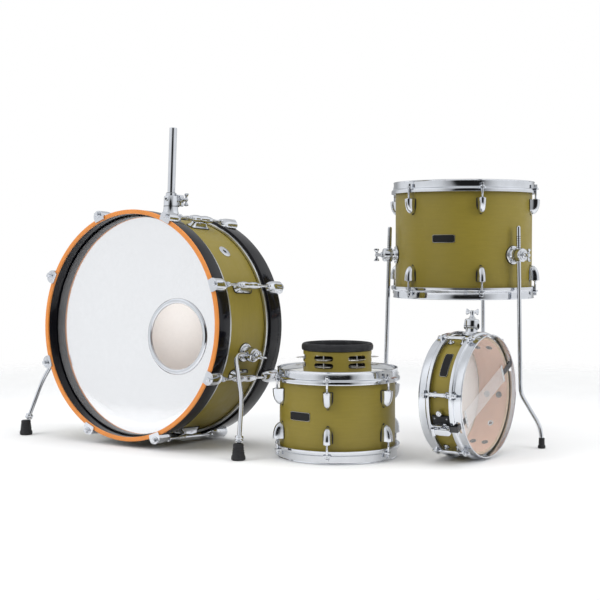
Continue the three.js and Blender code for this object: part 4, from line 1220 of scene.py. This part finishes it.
def snare_strands():
    """Twenty coiled wires side by side between two plates."""
    strands = Shape()
    half, count = 95, 20
    coils = 75
    for i in range(count):
        y = -18.05 + 36.1 * i / (count - 1)
        phase = random.random()
        profile = [(0, -half)]
        for k in range(coils):
            z = -half + 2 * half * (k + 0.25 * phase) / coils
            profile += [(0.3, z), (0.46, z + half / coils)]
        profile += [(0, half)]
        strand = lathe(profile, 6, closed=False)
        strands = strands + strand.moved(X_OUT).shifted(y=y, z=39.05)
    return strands


def snare_ends():
    ends = Shape()
    for side in (-1, 1):
        x = sorted((side * 93, side * 100))
        # Each hole is a disc in the second finish: painted shade.
        hole = cylinder(1.1, 39.5, 40.0, 0.1, 14).painted(1)
        holes = together(hole.shifted(side * 96.5, y) for y in (-13, -4.5, 4.5, 13))
        ends = ends + slab(x, (-20, 20), (38.3, 39.9), 0.5) + holes
    return ends


def snare_straps():
    straps = Shape()
    for side in (-1, 1):
        across = sorted((side * 98, side * 140.9))
        along = slab(across, (-6.8, 6.8), (38.6, 39.5), 0.3)
        down = sorted((side * 139.95, side * 140.9))
        straps = straps + along + slab(down, (-6.8, 6.8), (14, 39.5), 0.3)
    return straps


def throw_off_shape():
    """The strainer: a black base, a housing between two cheeks, a strap clamp and a round adjuster."""
    base = slab((126.6, 132.6), (-25, 15), (-21, 20), 1.8).painted(1)
    housing = slab((131, 139.4), (-11, 11), (-20, 14), 2.4)
    rib = slab((138, 140.6), (-5, 5), (-17, 12), 1.2)
    cheeks = together(slab((136, 149), sorted((side * 8.2, side * 11)), (-20, 8), 1.2) for side in (-1, 1))
    bridge = slab((138.4, 146.8), (-9, 9), (-20, -12), 1.6)
    corners = [(0, -2.5, 0), (5.2, -2.5), (5.6, 3), (6.5, 3.8), (6.5, 8.6), (5.6, 9.9), (3.2, 9.9),
               (2.6, 8.9), (0, 8.9, 0)]
    knurl = solid_of(corners, 0.6, 96, radius=lambda i, r,
                     a: r * (1 + (0.03 * math.cos(24 * a) if r > 6.2 else 0)))
    tongue = slab((126.2, 130.1), (-33, -24.6), (-4, 4), 0.8).painted(1)
    clamp = slab((140.95, 143.4), (-9.6, 9.6), (13.5, 22), 1.0)
    adjuster = knurl.moved(X_OUT).shifted(x=127, y=-33) + tongue
    clamp_screws = screws(2.4, 1.1, 143.3, [(-5.4, 17.7), (5.4, 17.7)])
    base_screws = screws(1.9, 0.9, 132.5, [(-19, 14), (12.6, 17), (-19, -14), (12.6, -17.5)])
    return base + housing + rib + cheeks + bridge + adjuster + clamp + clamp_screws + base_screws


def lever_shape():
    """The lever on its hub, a curved bar with a round tip."""
    hub = cylinder(4.9, -9, 9, 0.8, 28).moved(Y_IN)
    caps = together(cylinder(2.6, 8.4, 9.5, 0.4, 20).moved(turn).painted(1) for turn in (Y_OUT, Y_IN))
    loops = []
    for k in range(15):
        t = k / 14
        z = 1 + 40.6 * t
        w = 6.9 * math.sqrt(max(0.03, 1 - max(0, (t - 0.8) / 0.2) ** 2)) * (0.78 + 0.22 * min(1, t * 3))
        thick = 1.9 - 0.7 * t
        bow = 0.6 * math.sin(math.pi * t)
        corners = softened(rectangle((-thick, thick), (-w, w)), 0.8)
        loops.append([(p.x + bow - 0.5, p.y, z) for p in corners])
    return hub + caps + loft(loops)


def butt_shape():
    base = slab((126.6, 139.5), (-13, 13), (-14, 20), 2.4)
    pad = slab((126.2, 128.4), (-14.2, 14.2), (-15.2, 21.2), 0.8).painted(1)
    clamp = slab((141.2, 145.2), (-11, 11), (-10, 22), 1.4)
    bridge = slab((138.8, 142.4), (-10.4, 10.4), (-9.4, 12.4), 0.8)
    # The grooves across the clamp are strips in the second finish: painted shade.
    grooves = together([slab((144.9, 145.5), (-8, 8), (z, z + 1.0), 0.2).painted(1) for z in (4, 7, 10)])
    return base + pad + clamp + bridge + grooves + screws(2.6, 1.2, 145.1, [(-6, 16.5), (6, 16.5)])


def make_snare_drum():
    body, station = "snare_drum", SNARE_FRAME
    shell, half = SNARE["shell"], SNARE["depth"] / 2
    edge = half - RIM["head_depth"] - 1
    bearings = [lying(b) for b in stations(6, SNARE["first_lug"])]
    piece("snare_wood_shell", wood_shell(shell, SHELL_WALL, edge - 0.3), [OLIVE, INNER, PLY], body, station,
          ["snare_shell"])
    piece("snare_wire_film", film_head(shell, edge, 0.15), [CLEAR, STEEL], body, station,
          ["snare_resonant_head"])
    piece("snare_batter_film", film_head(shell, edge), [COATED, STEEL], body, station @ FLIP,
          ["snare_batter_head"])
    straps_at = [lying(SNARE["throw_off"]), lying(SNARE["butt"])]
    gates = together([slab((120, 146), (-13, 13), (edge + 0.4, edge + 7), 1.5).painted(1).moved(turned(a))
                      for a in straps_at])
    for label, turn, node in (("wire", SAME, "snare_resonant_rim"), ("batter", FLIP, "snare_batter_rim")):
        hoop, rods, places = rim_group(shell, half, bearings, 8, turn)
        if label == "wire":
            ears = together(ear_shape(shell, half - RIM["wall_depth"]).moved(place) for place in places)
            hoop = carved(hoop_shape(shell, half, ()), gates).painted(0) + ears
        piece(f"snare_{label}_hoop", hoop, [CHROME], body, station, [node], 40)
        piece(f"snare_{label}_rods", rods, [CHROME], body, station, [node])
    lugs = together([barrel_lug(shell, 20).moved(turned(a)) for a in bearings])
    piece("snare_tube_lugs", lugs, [CHROME, RUBBER_AND_SHADE], body, station, ["snare_batter_rim"])
    piece("snare_inner_screws", tom_insides(shell, bearings, (-14.5, 14.5)), [SCREW_METAL_AND_SHADE, DARK_PARTS_AND_SHADE], body, station)

    wires = station @ turned(straps_at[0])
    piece("snare_strands", snare_strands(), [WIRE], body, wires, ["snare_wires"], 60)
    piece("snare_end_plates", snare_ends(), [STEEL, DARK_PARTS_AND_SHADE], body, wires, ["snare_wires"])
    piece("snare_wire_straps", snare_straps(), [STRAP], body, wires, ["snare_wires"])
    piece("snare_strainer", throw_off_shape(), [CHROME, DARK_PARTS_AND_SHADE], body, wires, ["snare_throw_off"])
    lever = wires @ turned(0, SNARE_LEVER["out"], SNARE_LEVER["along"])
    piece("snare_strainer_lever", lever_shape(), [CHROME, SCREW_METAL_AND_SHADE], "throw_off_lever", lever,
          ["snare_throw_off_lever"])
    piece("snare_butt", butt_shape(), [CHROME, DARK_PARTS_AND_SHADE], body, station @ turned(straps_at[1]),
          ["snare_butt_plate"])
    bracket = station @ turned(lying(SNARE["bracket"]))
    piece("snare_eye", eye_bracket(shell, SNARE["eye"], LEG["rod"] + 0.4), [CHROME, RUBBER_AND_SHADE], body, bracket,
          ["snare_bracket"])
    piece("snare_wing_bolt_piece", wing_bolt(wing_start(SNARE["eye"], LEG["rod"])), [CHROME], "snare_wing",
          bracket, ["snare_wing_bolt"])
    plate = badge_plate(shell, 55, 18)
    piece("snare_badge", plate, [PLATE, STEEL], body, station @ turned(lying(SNARE["badge"])))
    # The inner grommet's hole is a disc in the second finish: painted shade.
    inner_vent = ring(3.4, 7, -1.6, 0.4, 0.5, 32) + cylinder(3.6, -0.6, 0.1, 0.1, 24).painted(1)
    outer_vent = vent(shell, 5.5, 3)
    inside = inner_vent.moved(X_IN).shifted(x=shell - SHELL_WALL)
    piece("snare_vent", outer_vent + inside, [CHROME, DARK_PARTS_AND_SHADE], body,
          station @ turned(lying(SNARE["vent"]), 0, 6))


# ---- Jingle drum --------------------------------------------------------------------------------


def jingle_plate():
    """A thin dished plate with a cup round its pin."""
    outline = [(1.9, 1.0), (5.2, 1.1), (7.2, 0.2), (9.4, 0.0), (16.5, 0.05), (18.9, 0.5), (18.9, 0.95),
               (16.5, 0.55), (9.4, 0.5), (7.4, 0.7), (5.4, 1.6), (1.9, 1.5)]
    return ring_of(outline, 0.25, 40, 2)


def make_jingle_drum():
    body, station = "jingle_drum", JINGLE_FRAME
    d = JINGLE_DRUM
    bearings = [standing(b) for b in stations(6, d["first"])]
    outer, inner = d["shell"], d["shell"] - d["wall"]
    corners = [(inner, d["foot"], 2.4), (outer, d["foot"], 2.4), (outer, d["top"], 1.5),
               (inner, d["top"], 1.5)]
    whole = ring_of(corners, 2.0, 96, 4, material=lambda a, b: 1 if max(a[0], b[0]) < inner + 0.8 else 0)
    slot = stadium(d["slot_width"], d["slot_height"], outer - 16, outer + 8).painted(1)
    shell = carved(whole,
                   together(slot.moved(turned(angle, 0, row)) for angle in bearings for row in d["rows"]))
    node = ["jingle_drum_shell"]
    piece("jingle_wood_shell", shell, [OLIVE, NEAR_BLACK_INNER_WOOD], body, station, node)
    pins, plates = Shape(), Shape()
    pin_circle = outer - d["wall"] / 2
    pin = cylinder(1.15, d["rows"][0] - 9, d["rows"][1] + 10, 0.2, 16).shifted(x=pin_circle)
    for angle in bearings:
        pins = pins + pin.moved(turned(angle))
        for row in d["rows"]:
            for level, sense in ((-3.3, 1), (-1.2, -1)):
                lean = Matrix.Rotation(math.radians(random.uniform(-1.6, 1.6)), 4, "X")
                lean = lean @ Matrix.Rotation(math.radians(random.uniform(-1.6, 1.6)), 4, "Y")
                dish = jingle_plate() if sense > 0 else jingle_plate().moved(FLIP)
                dish = dish.moved(lean).shifted(random.uniform(-0.6, 0.6), random.uniform(-0.6, 0.6))
                plates = plates + dish.shifted(x=pin_circle, z=row + level + 0.6).moved(turned(angle))
    piece("jingle_pins", pins, [STEEL], body, station, node)
    piece("jingle_plates", plates, [JINGLE], body, station, node)

    r, top = d["ring"], d["ring_top"]
    soft = [(r - 12.5, d["top"] + 0.3, 0), (r - 1.6, d["top"] + 0.3, 1.6), (r - 0.2, d["top"] + 4, 3),
            (r - 0.2, top - 5, 5), (r - 3.4, top - 0.1, 4.4), (r - 9.4, top, 3.6), (r - 12, top - 4, 3.0),
            (r - 12.5, d["top"] + 2.4, 0)]
    ring_shape = ring_of(soft, 1.0, 120, 5)
    film = lathe([(0, d["top"] + 4.0), (r - 30, d["top"] + 3.9), (r - 11.6, d["top"] + 3.6),
                  (r - 11.6, d["top"] + 2.6), (r - 30, d["top"] + 2.9),
                  (0, d["top"] + 3.0)], 96, closed=False).painted(1)
    piece("jingle_rubber_top", ring_shape + film, [RUBBER_AND_SHADE, STRAP], body, station, ["jingle_drum_head"],
          50)


make_bass_drum()
make_floor_tom()
make_rack_tom()
make_snare_drum()
make_jingle_drum()

# ---- Stage, light and camera --------------------------------------------------------------------


def make_floor():
    f = Finish("studio_floor", (0.84, 0.84, 0.84), 0.75)
    f.shade(f.product(f.noise(2.0, 2), 0.4), 0.99).rough(f.noise(6, 2), 0.85)
    span = f.node("VectorMath", "Value", {0: f.place}, operation="LENGTH")
    f.tree.links.new(f.mapped(span, 1.0, 2.4, 1.0, 0.0), f.shader.inputs["Alpha"])
    radius = 2600
    shape = extruded([(radius * math.cos(a), radius * math.sin(a)) for a in angles(64)], -6, -0.4)
    added("studio_floor", mesh_of("studio_floor", shape, [f.done()]))


def add_softbox(name, place, size, power):
    light = bpy.data.lights.new(name, "AREA")
    light.shape = "RECTANGLE"
    light.size, light.size_y = size
    light.energy = power
    obj = added(name, light)
    obj.location = place
    aim = Vector((0, 0, 0.35))
    obj.rotation_euler = (aim - Vector(place)).to_track_quat("-Z", "Y").to_euler()
    obj.visible_glossy = False
    obj.visible_camera = False


def make_world():
    """A pale studio, brightest at both sides, with a dark wall behind the camera for the metal to reflect."""
    world = bpy.data.worlds.new("studio")
    world.use_nodes = True
    bpy.context.scene.world = world
    tree = world.node_tree

    def combined(operation, *sources):
        return shader_node(tree, "Math", 0, dict(enumerate(sources)), operation=operation)

    def ramp(value, low, high, new_low, new_high):
        limits = {"From Min": low, "From Max": high, "To Min": new_low, "To Max": new_high}
        return shader_node(tree, "MapRange", "Result", {"Value": value}, limits,
                           interpolation_type="SMOOTHSTEP")

    direction = shader_node(tree, "TexCoord", "Generated", {})
    split = shader_node(tree, "SeparateXYZ", 0, {0: direction}).node
    sides = ramp(combined("ABSOLUTE", split.outputs["X"]), 0.45, 0.8, 0.0, SIDE_LIGHT)
    above = ramp(split.outputs["Z"], 0.0, 0.9, ROOM_LIGHT, TOP_LIGHT)
    wall = ramp(split.outputs["Y"], -0.94, -0.86, DARK_WALL, 1.0)
    level = combined("MULTIPLY", combined("ADD", sides, above), wall)
    room = shader_node(tree, "Background", 0, {"Strength": level}, {"Color": (0.97, 0.985, 1.0, 1)})
    plain = tree.nodes["Background"]
    plain.inputs["Color"].default_value = (1, 1, 1, 1)
    plain.inputs["Strength"].default_value = SEEN_WALL
    seen = shader_node(tree, "LightPath", "Is Camera Ray", {})
    choice = shader_node(tree, "MixShader", 0, {"Fac": seen, 1: room, 2: plain.outputs[0]})
    tree.links.new(choice, tree.nodes["World Output"].inputs["Surface"])


make_floor()
make_world()
add_softbox("softbox_left", (-2.6, -1.5, 1.9), (1.8, 2.2), 42)
add_softbox("softbox_right", (2.7, -1.3, 1.7), (1.6, 2.0), 36)
add_softbox("softbox_top", (0.0, 0.2, 3.2), (3.6, 2.6), 48)

# Daylight through the bass drum's white heads, which shows through its port.
glow = bpy.data.lights.new("glow_in_bass_drum", "POINT")
glow.energy = 0.78
glow.shadow_soft_size = 0.06
glow_object = added("glow_in_bass_drum", glow)
glow_object.location = BASS_FRAME @ Vector((-0.02, 0.03, 0.06))
glow_object.visible_camera = False
glow_object.visible_glossy = False

camera = bpy.data.cameras.new("camera")
camera.sensor_width = CAMERA["sensor"]
camera.lens = CAMERA["lens"]
camera_object = added("camera", camera)
bass_centre = BASS_FRAME.translation
camera_object.location = (bass_centre.x + CAMERA["right"], bass_centre.y - CAMERA["back"], CAMERA["height"])
camera_object.rotation_euler = (math.radians(90 - CAMERA["fall"]), 0, 0)
bpy.context.scene.camera = camera_object
bpy.context.scene.view_settings.view_transform = "Standard"
